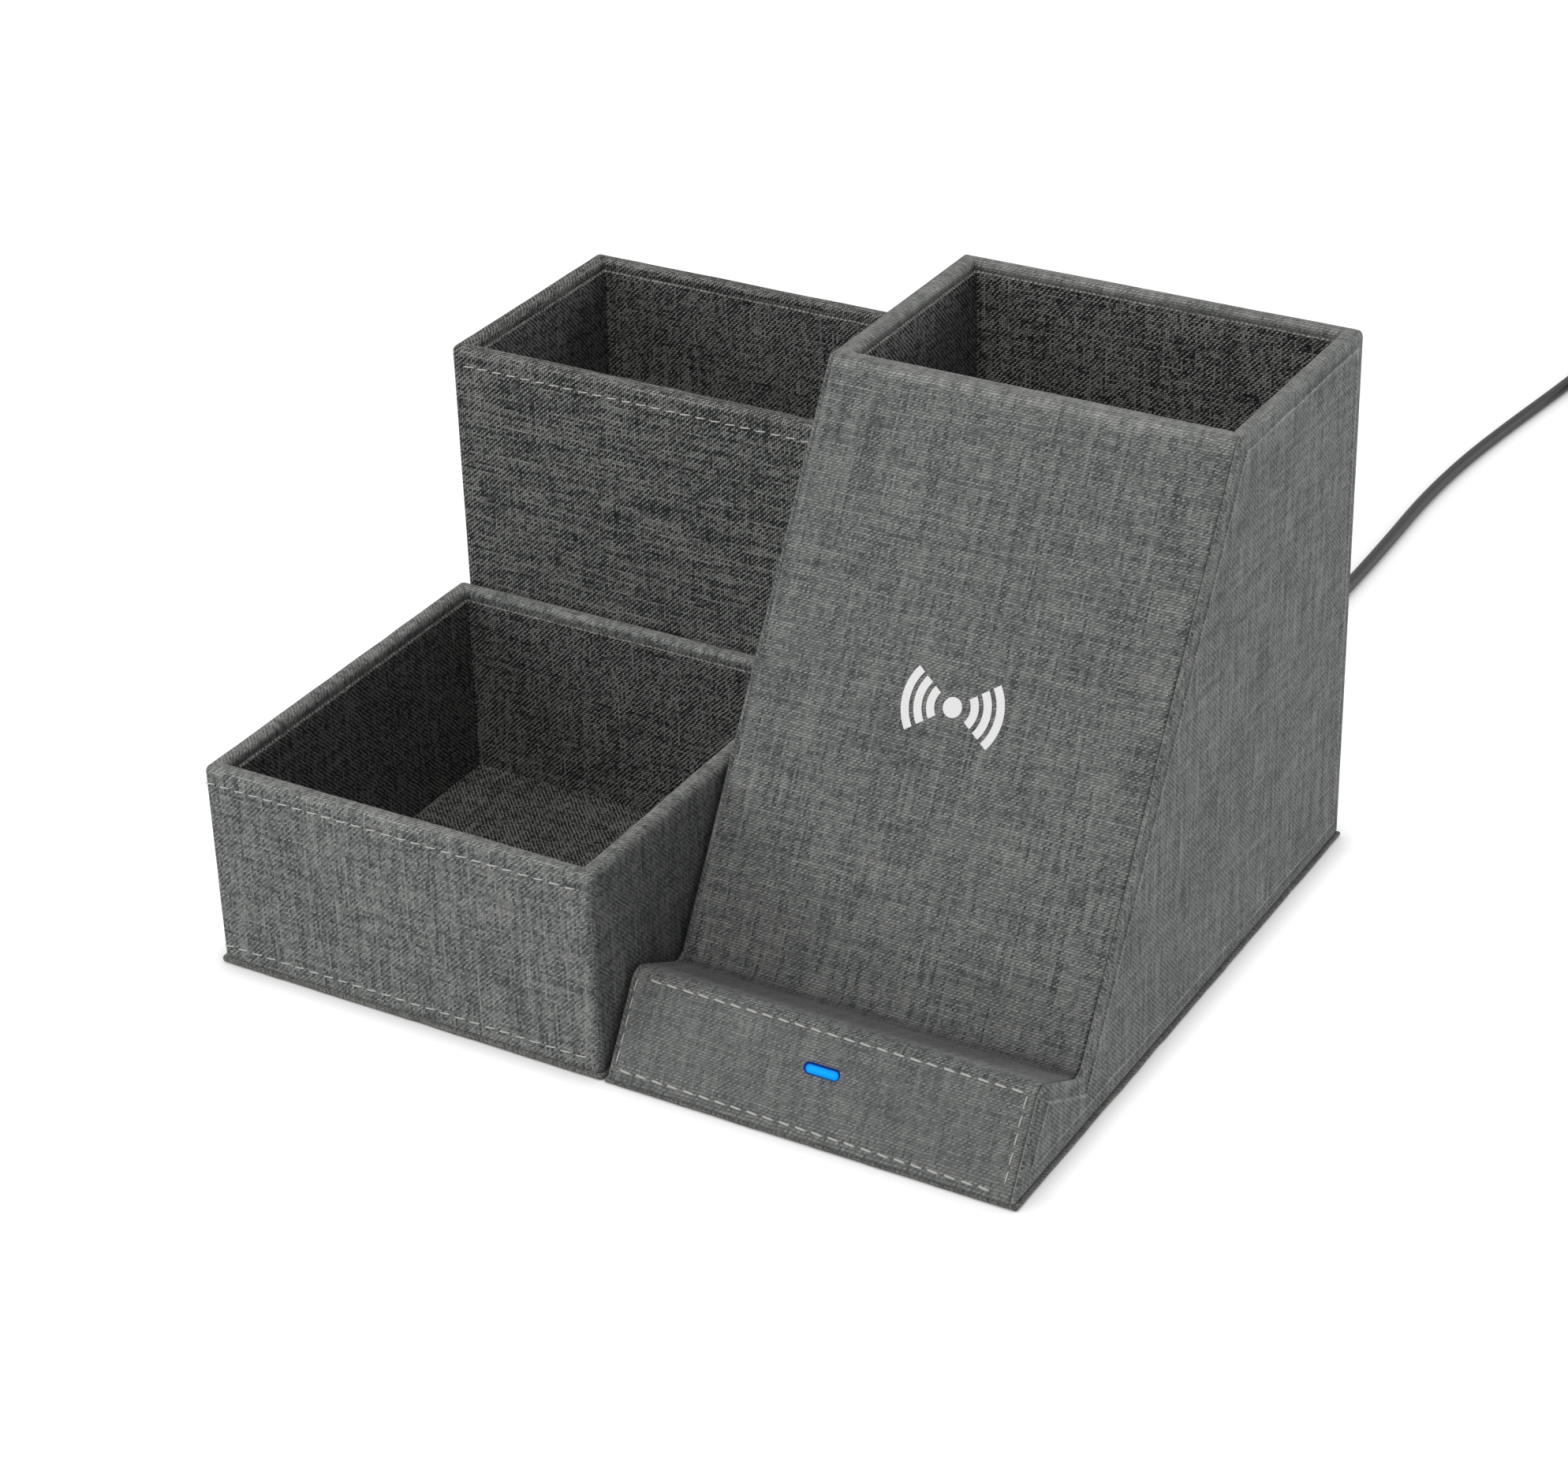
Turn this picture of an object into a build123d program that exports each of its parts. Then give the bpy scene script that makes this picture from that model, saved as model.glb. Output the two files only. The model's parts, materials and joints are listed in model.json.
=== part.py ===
"""A desk organizer in three fabric-wrapped modules: a low tray, a tall box, and a stand that
charges a phone and has a pen well behind it. Its cable plugs in at the rear.

Millimetres. +Z is up and -Y is the front. The origin is on the table, at the middle of the
footprint of the three modules. The cable lies behind them.
"""

import os
from collections import namedtuple
from math import cos, pi, radians, sin, sqrt, tan

from build123d import *

os.makedirs("parts", exist_ok=True)

# The three modules, over their fabric
stand_width = 100.0
stand_depth = 170.0
stand_height = 132.4
tray_width = 102.9
tray_depth = 103.2
tray_height = 51.9
box_height = 113.3
box_narrower = 0.6  # than the tray in front of it
box_width = tray_width - box_narrower

# A wall is a board between two layers of fabric, with a lining board on its inside
fabric = 0.5
board = 3.2
wall = board + 2 * fabric
lining = 1.0
lining_drop = 2.3  # from the rim down to the lining's top edge
fabric_return = 12.0  # how far the fabric is turned down inside the rim
corner_share = 0.38  # of a wall
rim_share = 0.38  # of a wall
corner_radius = corner_share * wall
rim_radius = rim_share * wall
fit = 0.2  # clearance of what is let in between walls
overrun = 1.0  # how far a cut runs past the face that it opens

# The wrapped base boards and their non-slip pads
base_lip = 0.65
base_thickness = 1.6
base_clearance = 0.2
nose_share = 0.45  # of the base board's thickness
pad_height = 0.5
pad_radius = 5.0
pad_inset = 13.0
base_top = pad_height + base_thickness
floor_thickness = 2.1
module_gap = 2 * base_lip + base_clearance

# The stand's side view: lip, ledge and leaning face
face_angle = 58.5
ledge_tilt = 27.5
lip_length = 24.9
ledge_length = 20.45
lip_radius = 3.6
trough_radius = 3.2

# Charging coil behind the middle of the face
coil_outer_radius = 21.5
coil_inner_radius = 10.0
coil_thickness = 1.3
ferrite_side = 50.0
ferrite_thickness = 0.8
holder_wall = 1.6
holder_ear = 8.0
screw_radius = 1.1
screw_head_radius = 2.1
screw_head_height = 1.3
screw_bite = 2.4
screw_clearance = 0.05

# Indicator light in the lip
light_width = 8.6
light_height = 2.9
light_proud = 0.1
light_board_width = 16.0
light_board_height = 7.0
light_board_thickness = 1.0
light_height_share = 0.573  # of the lip's length, from its foot

# Circuit board under the floor of the pen well, and its socket in the rear wall
circuit_width = 46.0
circuit_length_share = 0.578  # of the space under the floor
circuit_thickness = 1.2
post_height = 2.0
post_radius = 2.2
post_inset = 4.0
chip_side = 7.0
chip_height = 1.0
choke_radius = 4.5
choke_height = 4.0
capacitor_radius = 2.5
capacitor_height = 4.5
socket_width = 8.94
socket_height = 3.16
socket_length = 7.3
socket_wall = 0.3
tongue_height = 0.7
tongue_width = 6.6
tongue_recess = 0.6
socket_clearance = 0.3
cleat_width = 6.0
cleat_height = 10.4

# Disc magnets let into the walls where modules meet
magnet_radius = 5.0
magnet_thickness = 2.0
magnet_rise = 8.0
magnet_inset = 20.0

# Cable, its plug at the stand and the adapter plug at its far end
cord_diameter = 3.4
cord_lift = 0.05
turn_gap = 0.55
plug_width = 8.25
plug_height = 2.4
plug_wall = 0.35
plug_length = 6.65
plug_standoff = 0.6
grip_width = 11.6
grip_height = 5.6
grip_length = 20.0
grip_radius = 2.0
relief_length = 11.0
relief_radius = 2.2
relief_base_share = 0.45  # of the grip's height
adapter_width = 12.0
adapter_height = 4.5
adapter_length = 12.0
adapter_wall = 0.3
adapter_grip_width = 15.6
adapter_grip_height = 8.0
adapter_grip_length = 22.0

# Places in the plan
total_width = tray_width + stand_width + module_gap + 2 * base_lip
front_y = -stand_depth / 2
rear_y = stand_depth / 2
stand_right = total_width / 2 - base_lip
stand_left = stand_right - stand_width
stand_middle = (stand_left + stand_right) / 2
Plan = namedtuple("Plan", "left right front rear")
tray_right = stand_left - module_gap
tray_plan = Plan(tray_right - tray_width, tray_right, front_y, front_y + tray_depth)
box_plan = Plan(tray_right - box_width, tray_right, tray_plan.rear + module_gap, rear_y)
stand_plan = Plan(stand_left, stand_right, front_y, rear_y)


def save(piece, label):
    """Labels a finished piece and writes its STEP file."""
    piece.part.label = label
    export_step(piece.part, f"parts/{label}.step")


def width(plan):
    return plan.right - plan.left


def depth(plan):
    return plan.rear - plan.front


def middle(plan):
    return ((plan.left + plan.right) / 2, (plan.front + plan.rear) / 2)


def grown(plan, amount):
    """The same plan with every side moved out, or in where the amount is negative."""
    return Plan(plan.left - amount, plan.right + amount, plan.front - amount, plan.rear + amount)


def slab(plan, bottom, top):
    """A plain board that fills a plan between two heights."""
    with BuildPart() as piece:
        with BuildSketch(Plane.XY.offset(bottom)):
            with Locations(middle(plan)):
                Rectangle(width(plan), depth(plan))
        extrude(amount=top - bottom)
    return piece


def wall_ring(plan, inset, thickness, top):
    """Four walls in one, rounded at the rim and at the outer corners, set in from the fabric's face."""
    outer = grown(plan, -inset)
    inner = grown(outer, -thickness)
    with BuildPart() as ring:
        with BuildSketch(Plane.XY.offset(base_top)):
            with Locations(middle(plan)):
                RectangleRounded(width(outer), depth(outer), corner_radius - inset)
                Rectangle(width(inner), depth(inner), mode=Mode.SUBTRACT)
        extrude(amount=top - inset - base_top)
        fillet(ring.edges().group_by(Axis.Z)[-1], rim_radius - inset)
    return ring


def add_base(plan, name):
    """The wrapped base board with its rounded edge, and the four pads under it."""
    edge = grown(plan, base_lip)
    with BuildPart() as base:
        with BuildSketch(Plane.XY.offset(pad_height)):
            with Locations(middle(plan)):
                RectangleRounded(width(edge), depth(edge), corner_radius)
        extrude(amount=base_thickness)
        rounded = base.edges().group_by(Axis.Z)
        fillet(rounded[0] + rounded[-1], nose_share * base_thickness)
    save(base, f"{name}_base_board")
    with BuildPart() as pads:
        with BuildSketch():
            with Locations(middle(plan)):
                with GridLocations(width(plan) - 2 * pad_inset, depth(plan) - 2 * pad_inset, 2, 2):
                    Circle(pad_radius)
        extrude(amount=pad_height)
    save(pads, f"{name}_pads")


def magnet_places(start, end):
    """Two places along a wall, as far in from its ends as the magnets are set."""
    return (start + magnet_inset, end - magnet_inset)


def discs(plane, places, clearance=0.0):
    """Magnets, or the pockets that hold them, sunk into a wall from one of its faces."""
    with BuildPart() as piece:
        with BuildSketch(plane):
            with Locations(*places):
                Circle(magnet_radius + clearance)
        extrude(amount=-magnet_thickness)
    return piece


def add_walls(plan, top, name, magnets):
    """The four wall boards of a box and the fabric round them, with pockets for magnets."""
    ring = wall_ring(plan, fabric, board, top)
    end = wall + overrun
    sides = {
        "front": Plan(plan.left, plan.right, plan.front, plan.front + wall - fabric),
        "rear": Plan(plan.left, plan.right, plan.rear - wall + fabric, plan.rear),
        "left": Plan(plan.left, plan.left + end, plan.front + wall - fabric, plan.rear - wall + fabric),
        "right": Plan(plan.right - end, plan.right, plan.front + wall - fabric, plan.rear - wall + fabric),
    }
    for side, region in sides.items():
        with BuildPart() as wall_board:
            add(ring.part)
            add(slab(region, base_top, top).part, mode=Mode.INTERSECT)
            if side in magnets:
                plane, places = magnets[side]
                add(discs(plane, places, fit).part, mode=Mode.SUBTRACT)
        save(wall_board, f"{name}_{side}_board")
    with BuildPart() as cover:
        add(wall_ring(plan, 0, wall, top).part)
        add(ring.part, mode=Mode.SUBTRACT)
        turned = slab(grown(plan, fabric - wall), base_top, top - fabric_return)
        add(turned.part, mode=Mode.SUBTRACT)
    save(cover, f"{name}_cover")
    with BuildPart() as magnet_set:
        for plane, places in magnets.values():
            add(discs(plane, places).part)
    save(magnet_set, f"{name}_magnets")


def add_lining(plan, bottom, top, name):
    """Four lining boards round the inside of a plan: front and rear run through, the sides fit between."""
    inner_front = plan.front + lining
    inner_rear = plan.rear - lining
    lining_top = top - lining_drop
    for side, start, end in (("front", plan.front, inner_front), ("rear", inner_rear, plan.rear)):
        through = Plan(plan.left, plan.right, start, end)
        save(slab(through, bottom, lining_top), f"{name}_{side}_lining")
    with BuildPart() as side_linings:
        for left in (plan.left, plan.right - lining):
            between = Plan(left, left + lining, inner_front, inner_rear)
            add(slab(between, bottom, lining_top).part)
    save(side_linings, f"{name}_side_linings")


def add_box(plan, top, name, magnets):
    """A whole open box: base, walls, fabric, floor and lining."""
    add_base(plan, name)
    add_walls(plan, top, name, magnets)
    inside = grown(plan, -wall)
    add_lining(inside, base_top, top, name)
    save(slab(grown(inside, -lining - fit), base_top, base_top + floor_thickness), f"{name}_floor")


# Magnets sit just under the fabric, in pairs that face each other
magnet_z = base_top + magnet_rise
tray_rear_face = Plane((0, tray_plan.rear - fabric, 0), x_dir=(-1, 0, 0), z_dir=(0, 1, 0))
box_front_face = Plane((0, box_plan.front + fabric, 0), x_dir=(1, 0, 0), z_dir=(0, -1, 0))
tray_right_face = Plane.YZ.offset(tray_plan.right - fabric)
stand_left_face = Plane((stand_left + fabric, 0, 0), x_dir=(0, -1, 0), z_dir=(-1, 0, 0))
tray_side_y = magnet_places(tray_plan.front, tray_plan.rear)
box_side_y = magnet_places(box_plan.front, box_plan.rear)
meeting_x = magnet_places(tray_plan.left, tray_plan.right)
tray_magnets = {
    "rear": (tray_rear_face, [(-x, magnet_z) for x in meeting_x]),
    "right": (tray_right_face, [(y, magnet_z) for y in tray_side_y]),
}
box_magnets = {
    "front": (box_front_face, [(x, magnet_z) for x in meeting_x]),
    "right": (tray_right_face, [(y, magnet_z) for y in box_side_y]),
}
stand_magnet_places = [(-y, magnet_z) for y in (*tray_side_y, *box_side_y)]

add_box(tray_plan, tray_height, "tray", tray_magnets)
add_box(box_plan, box_height, "box", box_magnets)
add_base(stand_plan, "stand")


def crossing(start, angle, other, other_angle):
    """Where two lines of the side view cross, each given by a point and its angle in degrees."""
    a, b = radians(angle), radians(other_angle)
    dy, dz = other[0] - start[0], other[1] - start[1]
    along = (dy * sin(b) - dz * cos(b)) / (cos(a) * sin(b) - sin(a) * cos(b))
    return (start[0] + along * cos(a), start[1] + along * sin(a))


def set_in(point, angle, inset):
    """A point moved inward from a line of the side view that runs at an angle in degrees."""
    return (point[0] + inset * sin(radians(angle)), point[1] - inset * cos(radians(angle)))


foot = (front_y, base_top)
lip_top = (foot[0] + lip_length * cos(radians(face_angle)), foot[1] + lip_length * sin(radians(face_angle)))
trough = (
    lip_top[0] + ledge_length * cos(radians(ledge_tilt)),
    lip_top[1] - ledge_length * sin(radians(ledge_tilt)),
)
face_top = crossing(trough, face_angle, (rear_y, stand_height), 0)
face_length = (stand_height - trough[1]) / sin(radians(face_angle))


def side_corners(inset):
    """Corners of the side view from the foot of the lip to the foot of the rear, all set in alike."""
    lip_line = set_in(foot, face_angle, inset)
    ledge_line = set_in(lip_top, -ledge_tilt, inset)
    face_line = set_in(trough, face_angle, inset)
    top_line = (rear_y - inset, stand_height - inset)
    return [
        crossing(lip_line, face_angle, foot, 0),
        crossing(lip_line, face_angle, ledge_line, -ledge_tilt),
        crossing(ledge_line, -ledge_tilt, face_line, face_angle),
        crossing(face_line, face_angle, top_line, 0),
        top_line,
        (rear_y - inset, base_top),
    ]


def side_view(inset):
    """The stand's side view as a face, rounded over the lip, in the trough and at the rim."""
    corners = side_corners(inset)
    radii = [lip_radius - inset, trough_radius + inset, rim_radius - inset, rim_radius - inset]
    with BuildSketch() as view:
        with BuildLine():
            FilletPolyline(*corners, radius=radii)
            Line(corners[-1], corners[0])
        make_face()
    return view.sketch


def side_slice(inset, left, right):
    """The side view as a board between two places across the stand."""
    with BuildPart() as piece:
        with BuildSketch(Plane.YZ.offset(left)):
            add(side_view(inset))
        extrude(amount=right - left)
    return piece


# Side walls of the stand: a board cut to the side view, and the fabric wrapped round it
side_round_share = 0.3  # of a wall
side_starts = {"left": (stand_left, stand_left), "right": (stand_right - wall, stand_right)}
for side, (start, outer_face) in side_starts.items():
    with BuildPart() as side_board:
        add(side_slice(fabric, start + fabric, start + wall - fabric).part)
        if side == "left":
            add(discs(stand_left_face, stand_magnet_places, fit).part, mode=Mode.SUBTRACT)
    save(side_board, f"stand_{side}_board")
    with BuildPart() as side_cover:
        add(side_slice(0, start, start + wall).part)
        seen = side_cover.faces().filter_by(Axis.X).filter_by_position(
            Axis.X, outer_face - fabric, outer_face + fabric
        )
        above = seen.edges().filter_by_position(Axis.Z, base_top + fabric, stand_height + fabric)
        fillet(above, side_round_share * wall)
        add(side_slice(fabric, start + fabric, start + wall - fabric).part, mode=Mode.SUBTRACT)
    save(side_cover, f"stand_{side}_cover")
save(discs(stand_left_face, stand_magnet_places), "stand_magnets")

# Everything else of the stand fits between the two side walls
inner_left = stand_left + wall
inner_right = stand_right - wall
inner_width = inner_right - inner_left
across = Plane.YZ.offset(inner_left)
well_front = face_top[0] + wall
well = Plan(inner_left, inner_right, well_front, rear_y - wall)


def front_region(inset):
    """The side view forward of the pen well, as a face, with its rim rounded on both sides."""
    behind = well_front - inset
    with BuildSketch() as region:
        add(side_view(inset))
        with Locations((behind, 0)):
            Rectangle(stand_depth, 2 * stand_height, align=(Align.MIN, Align.CENTER), mode=Mode.SUBTRACT)
        rear_corners = region.vertices().group_by(Axis.X)[-1]
        fillet(rear_corners.sort_by(Axis.Y)[-1], rim_radius - inset)
    return region.sketch


def front_board(outline, label, cutter=None):
    """A board of the stand's front, from its corners in the side view, rounded where the fabric is."""
    with BuildPart() as piece:
        with BuildSketch(across):
            with BuildLine():
                Polyline(*outline, close=True)
            make_face()
            add(front_region(fabric), mode=Mode.INTERSECT)
        extrude(amount=inner_width)
        if cutter:
            add(cutter.part, mode=Mode.SUBTRACT)
    save(piece, label)


# Fabric in one strip: up the lip, down through the trough, up the face, over the rim, into the well
light_at = (
    foot[0] + light_height_share * lip_length * cos(radians(face_angle)),
    foot[1] + light_height_share * lip_length * sin(radians(face_angle)),
)
face_normal = (0, -sin(radians(face_angle)), cos(radians(face_angle)))
light_plane = Plane((stand_middle, *light_at), x_dir=(1, 0, 0), z_dir=face_normal)


def light_slot(clearance, start, end):
    """The rounded slot of the indicator light, or the lens in it, between two heights off the lip's face."""
    with BuildPart() as piece:
        with BuildSketch(light_plane.offset(start)):
            SlotOverall(light_width + 2 * clearance, light_height + 2 * clearance)
        extrude(amount=end - start)
    return piece


lens_clearance = 0.05
lip_slot = light_slot(lens_clearance, -wall - overrun, overrun)
with BuildPart() as face_cover:
    with BuildSketch(across):
        add(front_region(0))
        add(front_region(fabric), mode=Mode.SUBTRACT)
        with Locations((well_front, stand_height - fabric_return)):
            Rectangle(
                fabric + fit / 2,
                stand_height,
                align=(Align.MAX, Align.MAX),
                mode=Mode.SUBTRACT,
            )
    extrude(amount=inner_width)
    add(lip_slot.part, mode=Mode.SUBTRACT)
save(face_cover, "stand_face_cover")

near = side_corners(fabric)
far = side_corners(fabric + board)
divider_front = well_front - fabric - board
front_board([near[0], near[1], far[1], far[0]], "lip_board", lip_slot)
front_board([near[1], near[2], far[2], far[1]], "ledge_board")
upright = (divider_front, base_top)
face_board_outline = [
    near[2],
    crossing(near[2], face_angle, upright, 90),
    crossing(far[2], face_angle, upright, 90),
    far[2],
]

# The coil's holder is screwed to the back of the face board, behind the middle of the face
face_middle = (
    trough[0] + face_length / 2 * cos(radians(face_angle)),
    trough[1] + face_length / 2 * sin(radians(face_angle)),
)
face_plane = Plane((stand_middle, *face_middle), x_dir=(1, 0, 0), z_dir=face_normal)
board_back = -fabric - board
coil_back = board_back - coil_thickness
ferrite_back = coil_back - ferrite_thickness
holder_back = ferrite_back - holder_wall
holder_side = ferrite_side + 2 * fit + 2 * holder_wall
ear_reach = holder_side + holder_ear
screw_plane = face_plane.offset(holder_back)
screw_length = holder_wall + ferrite_thickness + coil_thickness + screw_bite

with BuildPart() as screw_holes:
    with BuildSketch(screw_plane):
        with GridLocations(ear_reach, ear_reach - 2 * holder_ear, 2, 2):
            Circle(screw_radius + screw_clearance)
    extrude(amount=screw_length + screw_clearance)
front_board(face_board_outline, "face_board", screw_holes)

with BuildPart() as charging_coil:
    with BuildSketch(face_plane.offset(board_back)):
        Circle(coil_outer_radius)
        Circle(coil_inner_radius, mode=Mode.SUBTRACT)
    extrude(amount=-coil_thickness)
save(charging_coil, "charging_coil")

with BuildPart() as ferrite_plate:
    with BuildSketch(face_plane.offset(coil_back)):
        Rectangle(ferrite_side, ferrite_side)
    extrude(amount=-ferrite_thickness)
save(ferrite_plate, "ferrite_plate")

with BuildPart() as coil_holder:
    with BuildSketch(face_plane.offset(holder_back)):
        RectangleRounded(holder_side, holder_side, holder_wall)
        with GridLocations(holder_side, holder_side - holder_ear, 2, 2):
            Rectangle(2 * holder_ear, holder_ear)
        with GridLocations(ear_reach, ear_reach - 2 * holder_ear, 2, 2):
            Circle(screw_radius + screw_clearance, mode=Mode.SUBTRACT)
    extrude(amount=board_back - holder_back)
    with BuildSketch(face_plane.offset(board_back)):
        Rectangle(ferrite_side + 2 * fit, ferrite_side + 2 * fit)
    extrude(amount=ferrite_back - board_back, mode=Mode.SUBTRACT)
save(coil_holder, "coil_holder")

with BuildPart() as holder_screws:
    with BuildSketch(screw_plane):
        with GridLocations(ear_reach, ear_reach - 2 * holder_ear, 2, 2):
            Circle(screw_radius)
    extrude(amount=screw_length)
    with BuildSketch(screw_plane):
        with GridLocations(ear_reach, ear_reach - 2 * holder_ear, 2, 2):
            Circle(screw_head_radius)
    extrude(amount=-screw_head_height)
save(holder_screws, "holder_screws")

# Indicator light: a lens through the lip, and the small board that lights it from behind
save(light_slot(0, -wall + fabric, light_proud), "light_lens")
with BuildPart() as light_board:
    with BuildSketch(light_plane.offset(board_back)):
        Rectangle(light_board_width, light_board_height)
    extrude(amount=-light_board_thickness)
save(light_board, "light_board")

# The upright board between the electronics and the pen well
with BuildPart() as divider:
    with BuildSketch(across):
        with Locations((divider_front, base_top)):
            Rectangle(board, stand_height, align=(Align.MIN, Align.MIN))
        add(front_region(fabric), mode=Mode.INTERSECT)
    extrude(amount=inner_width)
save(divider, "divider_board")

# Rear wall, with a slot for the socket
socket_z = base_top + post_height + circuit_thickness + socket_height / 2
rear_outline = Plane((stand_middle, rear_y + overrun, socket_z), x_dir=(-1, 0, 0), z_dir=(0, 1, 0))
with BuildPart() as socket_slot:
    with BuildSketch(rear_outline):
        SlotOverall(socket_width + 2 * socket_clearance, socket_height + 2 * socket_clearance)
    extrude(amount=-wall - 2 * overrun)


def rear_region(inset):
    """The rear wall's section, as a face in the side view, with its rim rounded on both sides."""
    with BuildSketch() as region:
        with Locations((rear_y - wall + inset, base_top)):
            Rectangle(
                wall - 2 * inset,
                stand_height - inset - base_top,
                align=(Align.MIN, Align.MIN),
            )
        fillet(region.vertices().group_by(Axis.Y)[-1], rim_radius - inset)
    return region.sketch


with BuildPart() as rear_board:
    with BuildSketch(across):
        add(rear_region(fabric))
    extrude(amount=inner_width)
    add(socket_slot.part, mode=Mode.SUBTRACT)
save(rear_board, "stand_rear_board")

with BuildPart() as rear_cover:
    with BuildSketch(across):
        add(rear_region(0))
        add(rear_region(fabric), mode=Mode.SUBTRACT)
        with Locations((rear_y - wall, stand_height - fabric_return)):
            Rectangle(
                fabric + fit / 2,
                stand_height,
                align=(Align.MIN, Align.MAX),
                mode=Mode.SUBTRACT,
            )
    extrude(amount=inner_width)
    add(socket_slot.part, mode=Mode.SUBTRACT)
save(rear_cover, "stand_rear_cover")

# Pen well: its lining and floor stand on two cleats above the circuit board
cleat_top = base_top + cleat_height
between = Plan(inner_left, inner_right, well_front - fabric, rear_y - wall + fabric)
with BuildPart() as cleats:
    for left in (between.left, between.right - cleat_width):
        strip = Plan(left, left + cleat_width, between.front + fit, between.rear - fit)
        add(slab(strip, base_top, cleat_top).part)
save(cleats, "floor_cleats")
add_lining(well, cleat_top, stand_height, "well")
save(slab(grown(well, -lining - fit), cleat_top, cleat_top + floor_thickness), "well_floor")

# Circuit board on four posts, against the rear wall, with the socket on its edge
circuit_length = circuit_length_share * depth(between)
circuit_rear = between.rear - fit
circuit_bottom = base_top + post_height
circuit_top = circuit_bottom + circuit_thickness
circuit_middle = (stand_middle, circuit_rear - circuit_length / 2)
with BuildPart() as posts:
    with BuildSketch(Plane.XY.offset(base_top)):
        with Locations(circuit_middle):
            with GridLocations(circuit_width - 2 * post_inset, circuit_length - 2 * post_inset, 2, 2):
                Circle(post_radius)
    extrude(amount=post_height)
save(posts, "board_posts")

chip_place_shares = [(-0.22, -0.2), (0.2, 0.02)]  # of the board's width and length
choke_place_shares = [(0.26, -0.26)]
capacitor_place_shares = [(-0.34, 0.16), (0.36, 0.24)]


def board_places(shares):
    """Places on the circuit board, from shares of its width and length."""
    return [
        (circuit_middle[0] + x * circuit_width, circuit_middle[1] + y * circuit_length)
        for x, y in shares
    ]


with BuildPart() as circuit:
    with BuildSketch(Plane.XY.offset(circuit_bottom)):
        with Locations(circuit_middle):
            Rectangle(circuit_width, circuit_length)
    extrude(amount=circuit_thickness)
    with BuildSketch(Plane.XY.offset(circuit_top)):
        with Locations(*board_places(chip_place_shares)):
            Rectangle(chip_side, chip_side)
    extrude(amount=chip_height)
    with BuildSketch(Plane.XY.offset(circuit_top)):
        with Locations(*board_places(choke_place_shares)):
            Circle(choke_radius)
    extrude(amount=choke_height)
    with BuildSketch(Plane.XY.offset(circuit_top)):
        with Locations(*board_places(capacitor_place_shares)):
            Circle(capacitor_radius)
    extrude(amount=capacitor_height)
save(circuit, "circuit_board")

socket_mouth = Plane((stand_middle, rear_y - fabric, socket_z), x_dir=(-1, 0, 0), z_dir=(0, 1, 0))
socket_inner_height = socket_height - 2 * socket_wall
with BuildPart() as socket:
    with BuildSketch(socket_mouth):
        SlotOverall(socket_width, socket_height)
        SlotOverall(socket_width - 2 * socket_wall, socket_inner_height, mode=Mode.SUBTRACT)
    extrude(amount=-socket_length)
    with BuildSketch(socket_mouth.offset(-socket_length)):
        SlotOverall(socket_width, socket_height)
    extrude(amount=socket_wall)
    with BuildSketch(socket_mouth.offset(-socket_length)):
        Rectangle(tongue_width, tongue_height)
    extrude(amount=socket_length - tongue_recess)
save(socket, "usb_socket")

# Plug at the stand: a hollow metal shell in the socket, a moulded grip, and its tapered relief
grip_face = Plane((stand_middle, rear_y + plug_standoff, socket_z), x_dir=(-1, 0, 0), z_dir=(0, 1, 0))
with BuildPart() as plug_shell:
    with BuildSketch(grip_face):
        SlotOverall(plug_width, plug_height)
        SlotOverall(plug_width - 2 * plug_wall, plug_height - 2 * plug_wall, mode=Mode.SUBTRACT)
    extrude(amount=-plug_length)
save(plug_shell, "plug_shell")

relief_base_radius = relief_base_share * grip_height
with BuildPart() as plug_grip:
    with BuildSketch(grip_face):
        RectangleRounded(grip_width, grip_height, grip_radius)
    extrude(amount=grip_length)
    ends = plug_grip.faces().filter_by(Axis.Y)
    fillet(ends.edges(), grip_radius / 2)
    with BuildSketch(grip_face.offset(grip_length - grip_radius / 2)):
        Circle(relief_base_radius)
    with BuildSketch(grip_face.offset(grip_length + relief_length)):
        Circle(relief_radius)
    loft()
save(plug_grip, "plug_grip")

# Route of the cable from the plug to its coil, chosen by hand
cord_radius = cord_diameter / 2
table_z = cord_radius + cord_lift
exit_y = rear_y + plug_standoff + grip_length + relief_length
cord_route = [
    (stand_middle, exit_y, socket_z),
    (stand_middle, 133.5, socket_z),
    (53.3, 156.0, table_z),
    (56.2, 181.0, table_z),
    (56.4, 207.0, table_z),
    (54.4, 234.5, table_z),
    (53.2, 262.5, table_z),
    (54.1, 291.0, table_z),
    (57.1, 319.0, table_z),
    (60.8, 347.0, table_z),
    (63.5, 372.1, table_z),
]


def bend_radii(points):
    """The radius of each bend: 0.45 of the shorter run over the tangent of half the turn."""
    shorter_share = 0.45
    runs = [Vector(b) - Vector(a) for a, b in zip(points, points[1:])]
    return [
        shorter_share * min(a.length, b.length) / tan(radians(a.get_angle(b)) / 2)
        for a, b in zip(runs, runs[1:])
    ]


with BuildLine() as cord_line:
    FilletPolyline(*cord_route, radius=bend_radii(cord_route))
cord_path = cord_line.wire()
with BuildPart() as cord:
    with BuildSketch(Plane(cord_route[0], z_dir=(0, 1, 0))):
        Circle(cord_radius)
    sweep(path=cord_path)
save(cord, "cord")
cord_section = pi * cord_radius**2
print("bend radii of the cord:", [round(r, 1) for r in bend_radii(cord_route)])
print("cord volume over section times length:", cord.part.volume / (cord_section * cord_path.length))

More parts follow.
